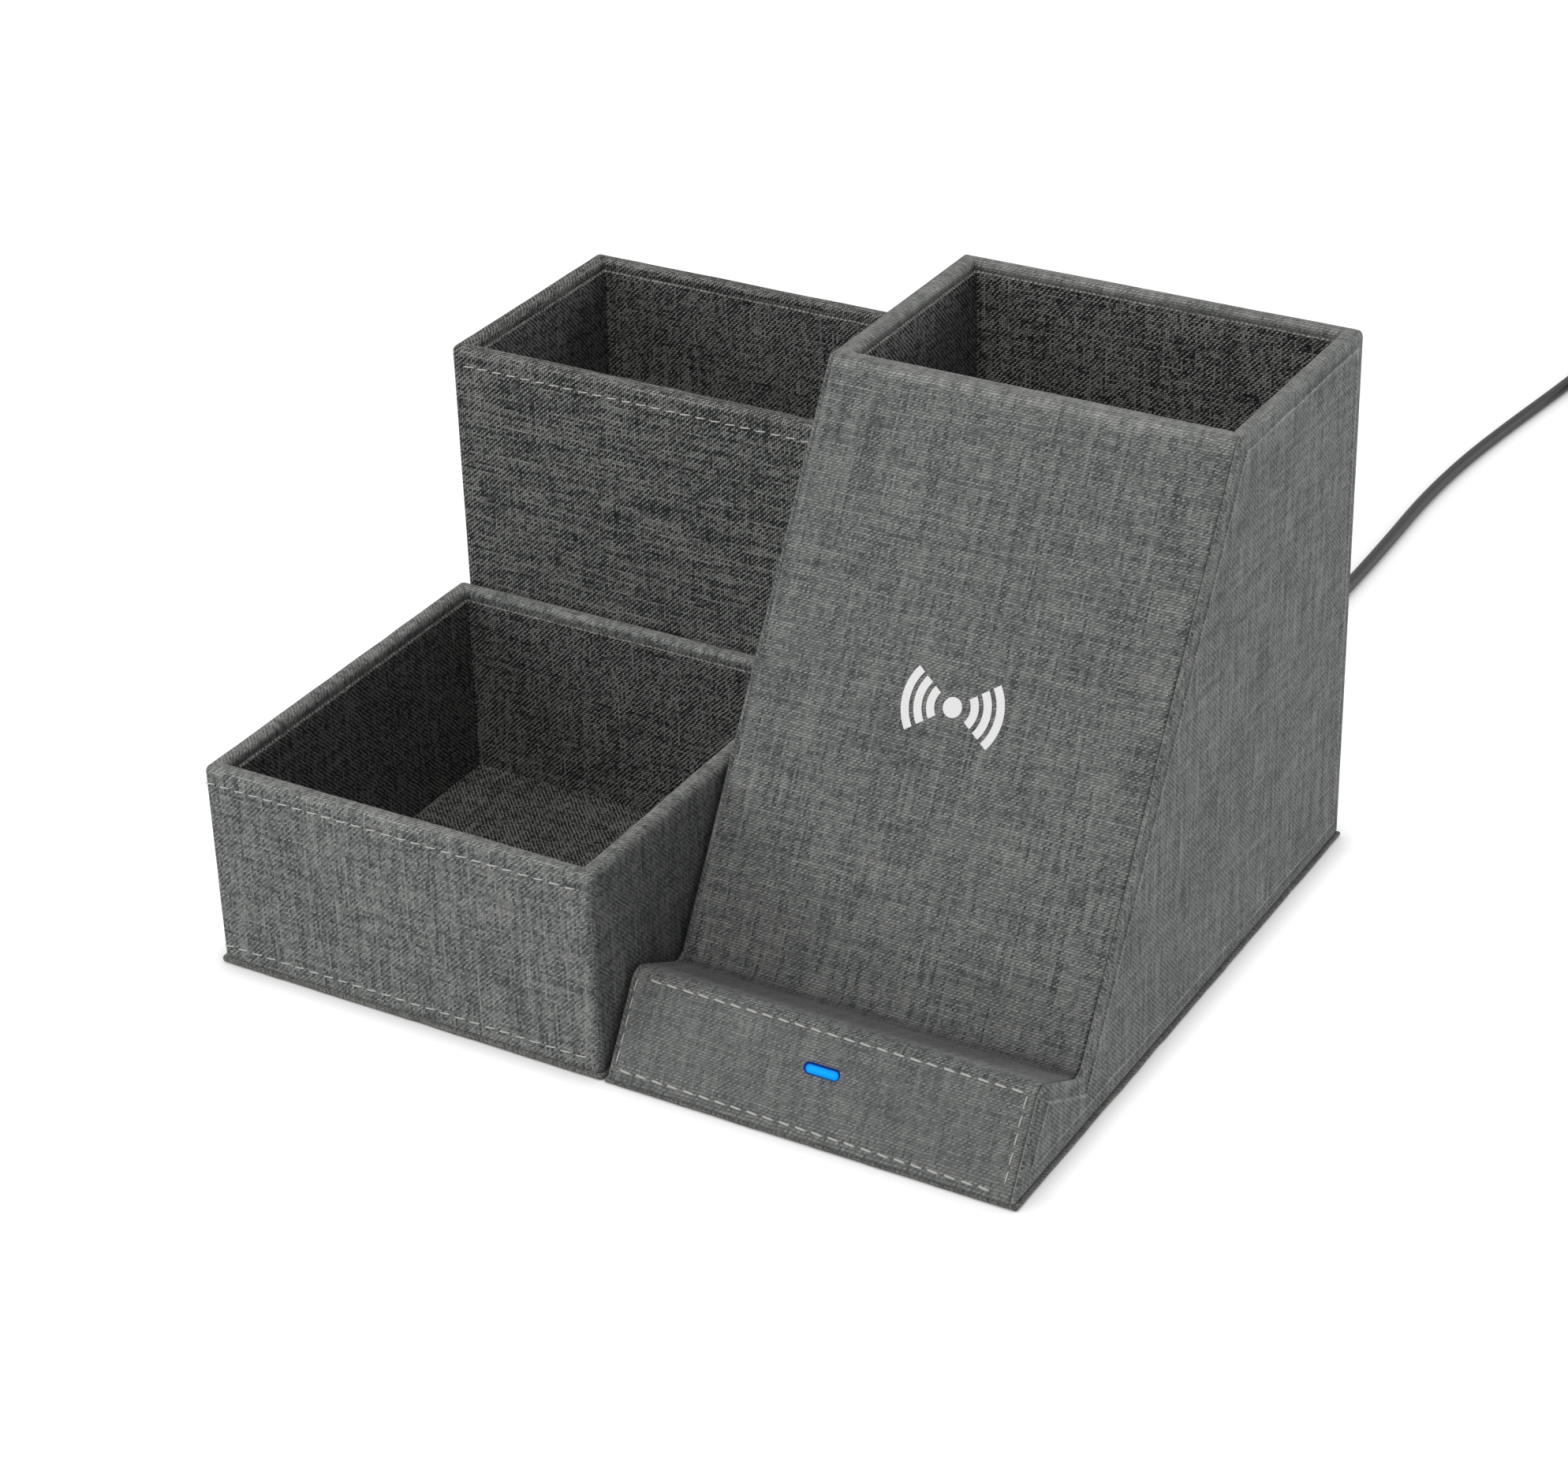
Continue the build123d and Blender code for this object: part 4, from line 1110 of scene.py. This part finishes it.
class ORGANIZER_OT_stand_sides(Operator):
    """Wrap the side walls of the stand, with a panel let in on each"""

    bl_idname = "organizer.stand_sides"
    bl_label = "Stand sides"

    # Edge of a side wall, from the groove outwards: depth past the groove and inset from the outline in
    # millimetres, and how much painted shade it gets
    GROOVE_ROWS = ((0.12, 0.48, 0.4), (0.0, 0.36, 0.28), (-0.1, 0.18, 0.12), (-0.22, 0.06, 0.05))
    # Face of a side wall, in to its panel: depth and inset in millimetres, how pale it is from wear and from
    # a painted highlight, and how much painted shade it gets. The rows that stand out are the ridge round
    # the panel
    FACE_ROWS = (
        (0.0, 2.2, 0.0, 0.12),
        (0.0, 3.0, 0.0, 0.16),
        (0.0, 3.3, 0.4, 0.1),
        (-0.14, 3.4, 1.6, 0.0),
        (-0.34, 3.5, 2.6, 0.0),
        (-0.36, 3.95, 2.6, 0.0),
        (-0.2, 4.15, 1.0, 0.0),
        (-0.14, 4.4, 0.1, 0.0),
        (-0.12, 5.2, 0.0, 0.0),
        (-0.12, 7.0, 0.0, 0.0),
    )
    RIDGE = (3.35 * MM, 4.2 * MM)  # insets between which the ridge lies
    EDGE_RADIUS = 0.95 * MM
    ON_EDGE = 7  # so many rows of faces take their weave along the edge, the others from the face
    WEAVE_SHIFT = 0.013  # moves the weave of the face along it

    def execute(self, context):
        self.corners = side_corners()
        self.marks = run_marks(self.corners)
        r = self.EDGE_RADIUS
        self.rows = [(GROOVE + d * MM, inset * MM, 0.0, tuck) for d, inset, tuck in self.GROOVE_ROWS]
        self.rows += [(r - r * math.sin(turn), r - r * math.cos(turn), 0.5, 0.0) for turn in quarter(6)]
        self.edge_rows = len(self.rows)
        self.rows += [(d * MM, inset * MM, rub, tuck) for d, inset, rub, tuck in self.FACE_ROWS]
        # The sides differ only in painted light: the left side's edge is not paled by wear and painted
        # highlight, and its groove gets less painted shade
        self.wrap_side("left", LEFT, 1, bead_share=0.0, painted_shade_share=0.4)
        self.wrap_side("right", RIGHT, -1, bead_share=1.0, painted_shade_share=1.0)
        return {"FINISHED"}

    def wrap_side(self, side, outer, way, bead_share, painted_shade_share):
        """Wraps one side wall. way is the sign of the way in from its outer face."""
        radii = [0.3 * MM, LIP_RADIUS, TROUGH_RADIUS, RIM_RADIUS, REAR_RADIUS, 0.3 * MM]
        trough = 2
        vertices, rubbed, tucked = [], [], []
        for row, (depth, inset, rub, tuck) in enumerate(self.rows):
            inner_radii = [max(radius - inset, 0.25 * MM) for radius in radii]
            inner_radii[trough] = radii[trough] + inset
            if inset > 3.1 * MM:
                inner_radii = [0.6 * MM] * 6
            ring = rounded(inset_corners(self.corners, inset), inner_radii, self.marks)
            on_edge = row < self.edge_rows
            for p, inward, _, _ in ring:
                point = Vector((outer + way * depth, p.x, p.y))
                inward = Vector((0, *inward))
                if on_edge:
                    point -= inward * slack(point, 31.0) * (1 if row > 2 else 0.3)
                elif self.RIDGE[0] < inset < self.RIDGE[1]:
                    point.x -= way * (slack(point, 32.0) + 0.1 * MM * ripple(point, 2.2 * MM, 33.0))
                    point += inward * 0.16 * MM * ripple(point, 1.3 * MM, 34.0)
                else:
                    point.x -= way * slack(point, 32.0)
                vertices.append(settle(point))
                # Paler from wear and from a painted highlight on the edge and the ridge; painted shade in
                # the groove and along the foot
                low_down = p.y < BASE_TOP + 2 * MM
                rubbed.append(rub * (0.3 if low_down else bead_share) if on_edge else rub)
                tucked.append(max(tuck * painted_shade_share, foot_shade(point.z)))
        width = len(ring)
        along = distances([p for p, _, _, _ in rounded(self.corners, radii, self.marks)])
        along.append(along[-1] + 3 * MM)

        def cloth_at(a, b, i, j):
            """Place on the fabric, along the edge or on the face."""
            v = vertices[a * width + b % width]
            return (v.x, along[b]) if i < self.ON_EDGE else (v.y + self.WEAVE_SHIFT, v.z)

        faces, cloth = quilt(len(self.rows), width, cloth_at, flip=way < 0)
        panel = bmesh.new()
        inner = range(len(vertices) - width, len(vertices))
        corners = [panel.verts.new((vertices[v].y, vertices[v].z, 0)) for v in inner]
        panel.faces.new(corners)
        bmesh.ops.triangulate(panel, faces=panel.faces[:])
        for f in panel.faces:
            triangle = [inner[corners.index(v)] for v in f.verts]
            a, b, c = (vertices[v] for v in triangle)
            if (b - a).cross(c - a).x * way > 0:
                triangle.reverse()
            faces.append(triangle)
            cloth += [(vertices[v].y + self.WEAVE_SHIFT, vertices[v].z) for v in triangle]
        panel.free()
        name, material = f"stand_{side}_fabric", fabric("Side fabric")
        obj = cover(name, vertices, faces, cloth, material, "stand", rubbed=rubbed, tucked=tucked)
        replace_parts(obj, f"stand_{side}_cover")
        self.wrap_rim(side, outer, way, material)

    def wrap_rim(self, side, outer, way, material):
        """Carries a side wall's fabric over its rim and down into the well."""
        front = self.corners[3].x
        outline = [Vector((0.9 * MM, TOP)), Vector((WALL, TOP)), Vector((WALL, TOP - FABRIC_RETURN))]

        def rim_place(p, c):
            past = max(0.0, REAR_RADIUS - (REAR - c))
            height = p.y - REAR_RADIUS + math.sqrt(REAR_RADIUS**2 - past**2)
            return Vector((outer + way * p.x, c, height))

        strip(
            f"stand_{side}_rim_fabric", outline, [0, RIM_RADIUS, 0],
            lambda p: (front + min(p.x, WALL), REAR - min(p.x, WALL)),
            rim_place, material, 31.0,
            flip=way > 0,
            dark=lambda p: shade_inside_rim(TOP - p.y) if p.x > 0.6 * WALL else 0.0,
            roll=lambda p: 0.05 * MM,
        )


class ORGANIZER_OT_stand_front(Operator):
    """Draw the fabric up the lip, through the trough, up the face and into the well"""

    bl_idname = "organizer.stand_front"
    bl_label = "Stand front"

    def execute(self, context):
        foot, lip_top, trough, face_top = side_corners()[:4]
        well = face_top.x + WALL
        outline = [foot, lip_top, trough, face_top, Vector((well, TOP)), Vector((well, TOP - FABRIC_RETURN))]
        radii = [0, LIP_RADIUS, TROUGH_RADIUS, RIM_RADIUS, RIM_RADIUS, 0]

        def ends(p):
            over_rim = p.y > TOP - FABRIC_RETURN - 1 * MM and p.x > face_top.x
            depth = max(GROOVE, p.x - face_top.x if over_rim else 0)
            return LEFT + depth, RIGHT - depth

        def dark(p):
            """Shade inside the well, in the trough below the face, and on the ledge."""
            if p.x > well - 0.4 * WALL:
                return shade_inside_rim(TOP - p.y)
            if p.x > trough.x:
                away = (p - trough).length
                return max(0.0, 0.75 * (1 - away / (5 * MM)), 0.22 * (1 - away / (26 * MM)))
            along = (p - lip_top).dot(trough - lip_top) / (trough - lip_top).length
            return 0.74 * clamp((along - 2.5 * MM) / (6 * MM))

        obj = strip(
            "stand_face_fabric", outline, radii, ends,
            lambda p, c: Vector((c, p.x, p.y)), fabric("Stand fabric"), 41.0,
            dark=dark,
            roll=lambda p: (0.05 if p.x > face_top.x + GROOVE else 0.42) * MM,
            flat=lambda p: 0.3 if p.x < lip_top.x - 1 * MM else 0.0,
        )
        cut_slot(obj, light_middle(), OUTWARD, LENS_WIDTH + LENS_ROOM, 2 * LENS_RADIUS + LENS_ROOM)
        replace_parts(obj, "stand_face_cover")
        return {"FINISHED"}


class ORGANIZER_OT_stand_rear(Operator):
    """Draw the fabric up the rear wall of the stand and over its rim"""

    bl_idname = "organizer.stand_rear"
    bl_label = "Stand rear"

    def execute(self, context):
        inner = REAR - WALL
        outline = [
            Vector((inner, TOP - FABRIC_RETURN)),
            Vector((inner, TOP)),
            Vector((REAR, TOP)),
            Vector((REAR, BASE_TOP)),
        ]

        def ends(p):
            depth = max(GROOVE, REAR - p.x)
            return LEFT + depth, RIGHT - depth

        obj = strip(
            "stand_rear_fabric", outline, [0, RIM_RADIUS, REAR_RADIUS, 0], ends,
            lambda p, c: Vector((c, p.x, p.y)), fabric("Stand fabric"), 44.0,
            dark=lambda p: shade_inside_rim(TOP - p.y) if p.x < REAR - 0.6 * WALL else 0.0,
            roll=lambda p: (0.05 if p.x < REAR - GROOVE else 0.42) * MM,
        )
        low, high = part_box("usb_socket")
        middle = Vector(((low.x + high.x) / 2, REAR, (low.z + high.z) / 2))
        cut_slot(obj, middle, BACKWARD, 9.6 * MM, 3.9 * MM)
        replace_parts(obj, "stand_rear_cover")
        return {"FINISHED"}


class ORGANIZER_OT_stitching(Operator):
    """Sew the lines of stitches on the tray, the box and the lip"""

    bl_idname = "organizer.stitching"
    bl_label = "Stitching"

    def execute(self, context):
        # Room at the left, room at the right, and height up the wall or down from its rim, in millimetres
        for name, (low, high), left, right, up, body, seed in (
            ("tray_rim_stitches", TRAY, 0.3, 2.4, -4.1, "low_tray", 51),
            ("tray_foot_stitches", TRAY, 0.5, 2.6, 2.6, "low_tray", 53),
            ("box_rim_stitches", BOX, 3.6, 2.4, -4.4, "tall_box", 55),
        ):
            z = (low.z if up > 0 else high.z) + up * MM
            start = Vector((low.x + left * MM, low.y, z))
            end = Vector((high.x - right * MM, low.y, z))
            thread_line(name, start, end, FORWARD, body, -0.1, seed)

        # Places on the lip from the foot of its left edge: across and up, in millimetres
        width, height = (RIGHT - LEFT) / MM, LIP_LENGTH / MM
        for name, start, end, stout in (
            ("lip_top_stitches", (5.1, height - 2.5), (width - 3.9, height - 2.5), 1.35),
            ("lip_foot_stitches", (3.0, 1.6), (width - 3.9, 0.8), 1.4),
            ("lip_left_stitches", (1.7, 3.1), (1.7, height - 1.9), 0.9),
            ("lip_right_stitches", (width - 3.3, 3.1), (width - 3.3, height - 2.5), 1.0),
        ):
            start, end = (
                Vector((LEFT + x * MM, FRONT, BASE_TOP)) + UPHILL * y * MM for x, y in (start, end)
            )
            thread_line(name, start, end, OUTWARD, "stand", 0.06, 57, stout, "Lip thread")
        return {"FINISHED"}


class ORGANIZER_OT_charge_mark(Operator):
    """Print a plain charging pictogram on the face"""

    bl_idname = "organizer.charge_mark"
    bl_label = "Charging mark"

    def execute(self, context):
        thickness, dot, first_arc, arc_pitch, arc_width, half_turn = (
            0.07 * MM, 2.3 * MM, 4.3, 3.03, 1.95 * MM, 0.63
        )
        trough, face_top = side_corners()[2:4]
        middle = (trough + face_top) / 2
        centre = Vector((MIDDLE, middle.x, middle.y)) + OUTWARD * 0.1 * MM
        vertices, faces = [], []

        def patch(inner, outer, start, end, count):
            """A band of ink between two radii and two angles."""
            base = len(vertices)
            for k in range(count + 1):
                turn = start + (end - start) * k / count
                for radius in (inner, outer):
                    spot = centre + ACROSS * radius * math.cos(turn) + UPHILL * radius * math.sin(turn)
                    vertices.extend((spot, spot + OUTWARD * thickness))
            for a in range(base, base + 4 * count, 4):
                for quad in ((1, 3, 7, 5), (0, 4, 6, 2), (0, 1, 5, 4), (2, 6, 7, 3)):
                    faces.append([a + k for k in quad])
            for a, turn in ((base, 1), (base + 4 * count, -1)):
                faces.append([a, a + 2, a + 3, a + 1][::turn])

        patch(0.02 * MM, dot, 0, 2 * math.pi, 40)
        for side in (0, math.pi):
            for ring in range(3):
                inner = (first_arc + arc_pitch * ring) * MM
                patch(inner, inner + arc_width, side - half_turn, side + half_turn, 24)
        flat = [((v - centre).dot(ACROSS), (v - centre).dot(UPHILL)) for v in vertices]
        cloth = [flat[v] for f in faces for v in f]
        piece(
            "charge_mark", vertices, faces, cloth, printed_white(), "stand", "cover_fabric", smooth=False
        )
        return {"FINISHED"}


class ORGANIZER_OT_indicator(Operator):
    """Set the lit lens into the lip"""

    bl_idname = "organizer.indicator"
    bl_label = "Indicator light"

    def execute(self, context):
        middle, up = light_middle(), OUTWARD.cross(ACROSS).normalized()
        # Inset and height over the lip, in millimetres
        rows = [(0.0, -1.2), (0.0, 0.0), (0.12, 0.14), (0.4, 0.24), (0.9, 0.3)]
        half = LENS_WIDTH / 2 - LENS_RADIUS
        vertices = [
            middle + ACROSS * x + up * y + OUTWARD * lift * MM
            for inset, lift in rows
            for x, y in slot_outline(half, LENS_RADIUS - inset * MM)
        ]
        width = len(vertices) // len(rows)
        flat = [((v - middle).dot(ACROSS), (v - middle).dot(up)) for v in vertices]
        faces, _ = quilt(len(rows), width, lambda a, b, i, j: None)
        faces += [range(len(vertices) - width, len(vertices)), range(width)[::-1]]
        cloth = [flat[v] for f in faces for v in f]
        obj = piece("indicator_lens", vertices, faces, cloth, lit_lens(half), "stand", "light_blue")
        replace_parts(obj, "light_lens")
        return {"FINISHED"}


class ORGANIZER_OT_cable(Operator):
    """Lay the cable from its plug to its stored coil and its adapter plug"""

    bl_idname = "organizer.cable"
    bl_label = "Cable"

    def execute(self, context):
        settings = context.scene.organizer_cable
        route = [Vector(p) * MM for p in CORD_ROUTE]
        along = (route[-1] - route[-2]).normalized()
        rightward = along.cross(UP)
        pitch = settings.diameter + settings.turn_gap
        centre = route[-1] + settings.diameter * along + settings.coil_radius * rightward
        points = route[:]
        # In on the table, up to the second layer over half a turn, and out again on top
        per_half, half_turns = 8, 2 * settings.turns
        for k in range((2 * half_turns + 1) * per_half + 1):
            half = k / per_half
            climb = clamp(half - half_turns)
            wound = min(half, half_turns) - max(0.0, half - half_turns - 1)
            radius = settings.coil_radius - pitch / 2 * wound - 0.5 * MM * math.sin(math.pi * climb)
            turn = math.pi * half
            spot = centre + radius * (math.sin(turn) * along - math.cos(turn) * rightward)
            points.append(spot + UP * pitch * (climb - math.sin(2 * math.pi * climb) / (4 * math.pi)))
        # Straight out of the coil, and down to the adapter plug
        low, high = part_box("adapter_grip")
        last = points[-1]
        drop = UP * ((low.z + high.z) / 2 - last.z)
        tail = 22 * MM
        for reach, lowered in ((0.3 * tail, 0), (0.7 * tail, 1), (tail, 1), (tail + settings.diameter, 1)):
            points.append(last - along * reach + drop * lowered)
        curve = bpy.data.curves.new("cable", "CURVE")
        curve.dimensions = "3D"
        spline = curve.splines.new("NURBS")
        spline.points.add(len(points) - 1)
        for point, place in zip(spline.points, points):
            point.co = (*place, 1)
        spline.order_u = 3
        spline.use_endpoint_u = True
        spline.resolution_u = 6
        curve.bevel_depth = settings.diameter / 2
        curve.bevel_resolution = 5
        curve.use_fill_caps = True
        jacket = settings.jacket[:3]
        curve.materials.append(
            plain("Cable jacket", jacket, [c * 1.5 for c in jacket], 900.0, 0.5, relief=0.12)
        )
        obj = bpy.data.objects.new("cable", curve)
        context.collection.objects.link(obj)
        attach(obj, "cable")
        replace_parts(obj, "cord", "cord_coil")
        return {"FINISHED"}


class ORGANIZER_OT_carried_parts(Operator):
    """Give the boards, magnets, electronics, pads and plugs their finishes"""

    bl_idname = "organizer.carried_parts"
    bl_label = "Carried parts"

    def execute(self, context):
        finishes = {slot: plain(*finish) for slot, finish in FINISHES.items()}
        slots = {s["node"]: s["material_slot"] for s in frame["record"]["subparts"]}
        for name, obj in frame["nodes"].items():
            if not obj.hide_render:
                obj.data.materials.clear()
                obj.data.materials.append(finishes[slots[name]])
        return {"FINISHED"}


class ORGANIZER_OT_stage(Operator):
    """Set the floor, the studio light and the camera"""

    bl_idname = "organizer.stage"
    bl_label = "Stage"

    def execute(self, context):
        context.scene.view_settings.view_transform = "Standard"
        self.lay_floor(context)
        self.light_studio(context)
        self.place_camera(context)
        return {"FINISHED"}

    def lay_floor(self, context):
        """A pale floor that looks white, keeps the organizer's shadow, and has a painted contact shadow
        round it.
        """
        reach = 4.0
        spots = [(x * reach, y * reach, 0) for x, y in ((-1, -1), (1, -1), (1, 1), (-1, 1))]
        mesh = bpy.data.meshes.new("floor")
        mesh.from_pydata(spots, [], [(0, 1, 2, 3)])
        floor = bpy.data.objects.new("floor", mesh)
        context.collection.objects.link(floor)
        material = bpy.data.materials.new("Pale floor")
        material.use_nodes = True
        tree = material.node_tree
        tree.nodes.clear()
        seen = seen_directly(tree)
        tone = blend_colour(tree, seen, (0.88, 0.88, 0.88, 1), (0.25, 0.25, 0.25, 1))
        # Painted contact shadow: ambient occlusion within 7.5 mm darkens the white that the camera sees
        near = number(tree, "ShaderNodeAmbientOcclusion", {"Distance": 7.5 * MM}, "AO")
        white = {"Color": (1, 1, 1, 1), "Strength": seen * (near * 0.97)}
        shaders = ("ShaderNodeBsdfDiffuse", {"Color": tone}), ("ShaderNodeEmission", white)
        layers = {k: add(tree, *shader).outputs[0] for k, shader in enumerate(shaders)}
        both = add(tree, "ShaderNodeAddShader", layers).outputs[0]
        add(tree, "ShaderNodeOutputMaterial", {0: both})
        mesh.materials.append(material)

    def light_studio(self, context):
        """A world that looks white but lights softly, and three lamps."""
        world = bpy.data.worlds.new("Studio")
        context.scene.world = world
        world.use_nodes = True
        tree = world.node_tree
        tree.nodes.clear()
        soft = add(tree, "ShaderNodeBackground", {0: (0.97, 0.98, 1.0, 1), 1: 0.21}).outputs[0]
        white = add(tree, "ShaderNodeBackground", {0: (1, 1, 1, 1), 1: 1.0}).outputs[0]
        both = add(tree, "ShaderNodeMixShader", {0: seen_directly(tree), 1: soft, 2: white}).outputs[0]
        add(tree, "ShaderNodeOutputWorld", {0: both})
        for name, place, target, size, power, tone in (
            ("overhead_light", (0.0, -0.7, 1.1), (0.0, 0.0, 0.05), 0.4, 6.2, (1.0, 0.99, 0.97)),
            ("left_light", (-0.7, -0.7, 0.45), (0.0, -0.05, 0.05), 0.5, 2.6, (0.98, 0.99, 1.0)),
            ("right_light", (0.85, 0.7, 0.3), (0.1, 0.0, 0.06), 0.6, 4.3, (0.98, 0.99, 1.0)),
        ):
            lamp = bpy.data.lights.new(name, "AREA")
            lamp.size = size
            lamp.energy = power
            lamp.color = tone
            obj = bpy.data.objects.new(name, lamp)
            obj.location = place
            obj.rotation_mode = "QUATERNION"
            obj.rotation_quaternion = (Vector(place) - Vector(target)).to_track_quat("Z", "Y")
            context.collection.objects.link(obj)

    def place_camera(self, context):
        """The photograph's camera, as solved from the organizer's corners."""
        place = (0.39206, -0.65890, 0.47696)
        forward = Vector((-0.44610, 0.74784, -0.49167)).normalized()
        right = Vector((0.86574, 0.49988, -0.02517))
        lens = bpy.data.cameras.new("camera")
        lens.sensor_fit = "HORIZONTAL"
        lens.sensor_width = 36
        lens.lens = 87.97
        lens.clip_start, lens.clip_end = 0.01, 50
        camera = bpy.data.objects.new("camera", lens)
        context.collection.objects.link(camera)
        up = right.cross(forward).normalized()
        turn = Matrix((forward.cross(up), up, -forward)).transposed().to_4x4()
        camera.matrix_world = Matrix.Translation(place) @ turn
        context.scene.camera = camera


class ORGANIZER_PT_build(Panel):
    """Lists the settings and steps that build the organizer's looks"""

    bl_idname = "ORGANIZER_PT_build"
    bl_label = "Organizer"
    bl_space_type = "VIEW_3D"
    bl_region_type = "UI"
    bl_category = "Organizer"

    def draw(self, context):
        for group in SETTINGS:
            box = self.layout.box()
            settings = getattr(context.scene, group)
            for name in settings.bl_rna.properties.keys():
                if name not in ("rna_type", "name"):
                    box.prop(settings, name)
        for step in STEPS:
            self.layout.operator(step.bl_idname)


SETTINGS = {
    "organizer_cloth": ClothSettings,
    "organizer_stitches": StitchSettings,
    "organizer_light": LightSettings,
    "organizer_cable": CableSettings,
}
STEPS = (
    ORGANIZER_OT_stage,
    ORGANIZER_OT_cable,
    ORGANIZER_OT_module_walls,
    ORGANIZER_OT_linings,
    ORGANIZER_OT_bases,
    ORGANIZER_OT_stand_sides,
    ORGANIZER_OT_stand_front,
    ORGANIZER_OT_stand_rear,
    ORGANIZER_OT_stitching,
    ORGANIZER_OT_charge_mark,
    ORGANIZER_OT_indicator,
    ORGANIZER_OT_carried_parts,
)


def register():
    """Registers the settings, the steps and the panel."""
    for group in (*SETTINGS.values(), *STEPS, ORGANIZER_PT_build):
        bpy.utils.register_class(group)
    for name, group in SETTINGS.items():
        setattr(bpy.types.Scene, name, PointerProperty(type=group))


def unregister():
    """Takes the panel, the steps and the settings out again."""
    for name in SETTINGS:
        delattr(bpy.types.Scene, name)
    for group in (ORGANIZER_PT_build, *reversed(STEPS), *SETTINGS.values()):
        bpy.utils.unregister_class(group)


def main():
    """Takes every step."""
    register()
    for step in STEPS:
        getattr(bpy.ops.organizer, step.bl_idname.split(".")[1])()


if __name__ == "__main__":
    main()
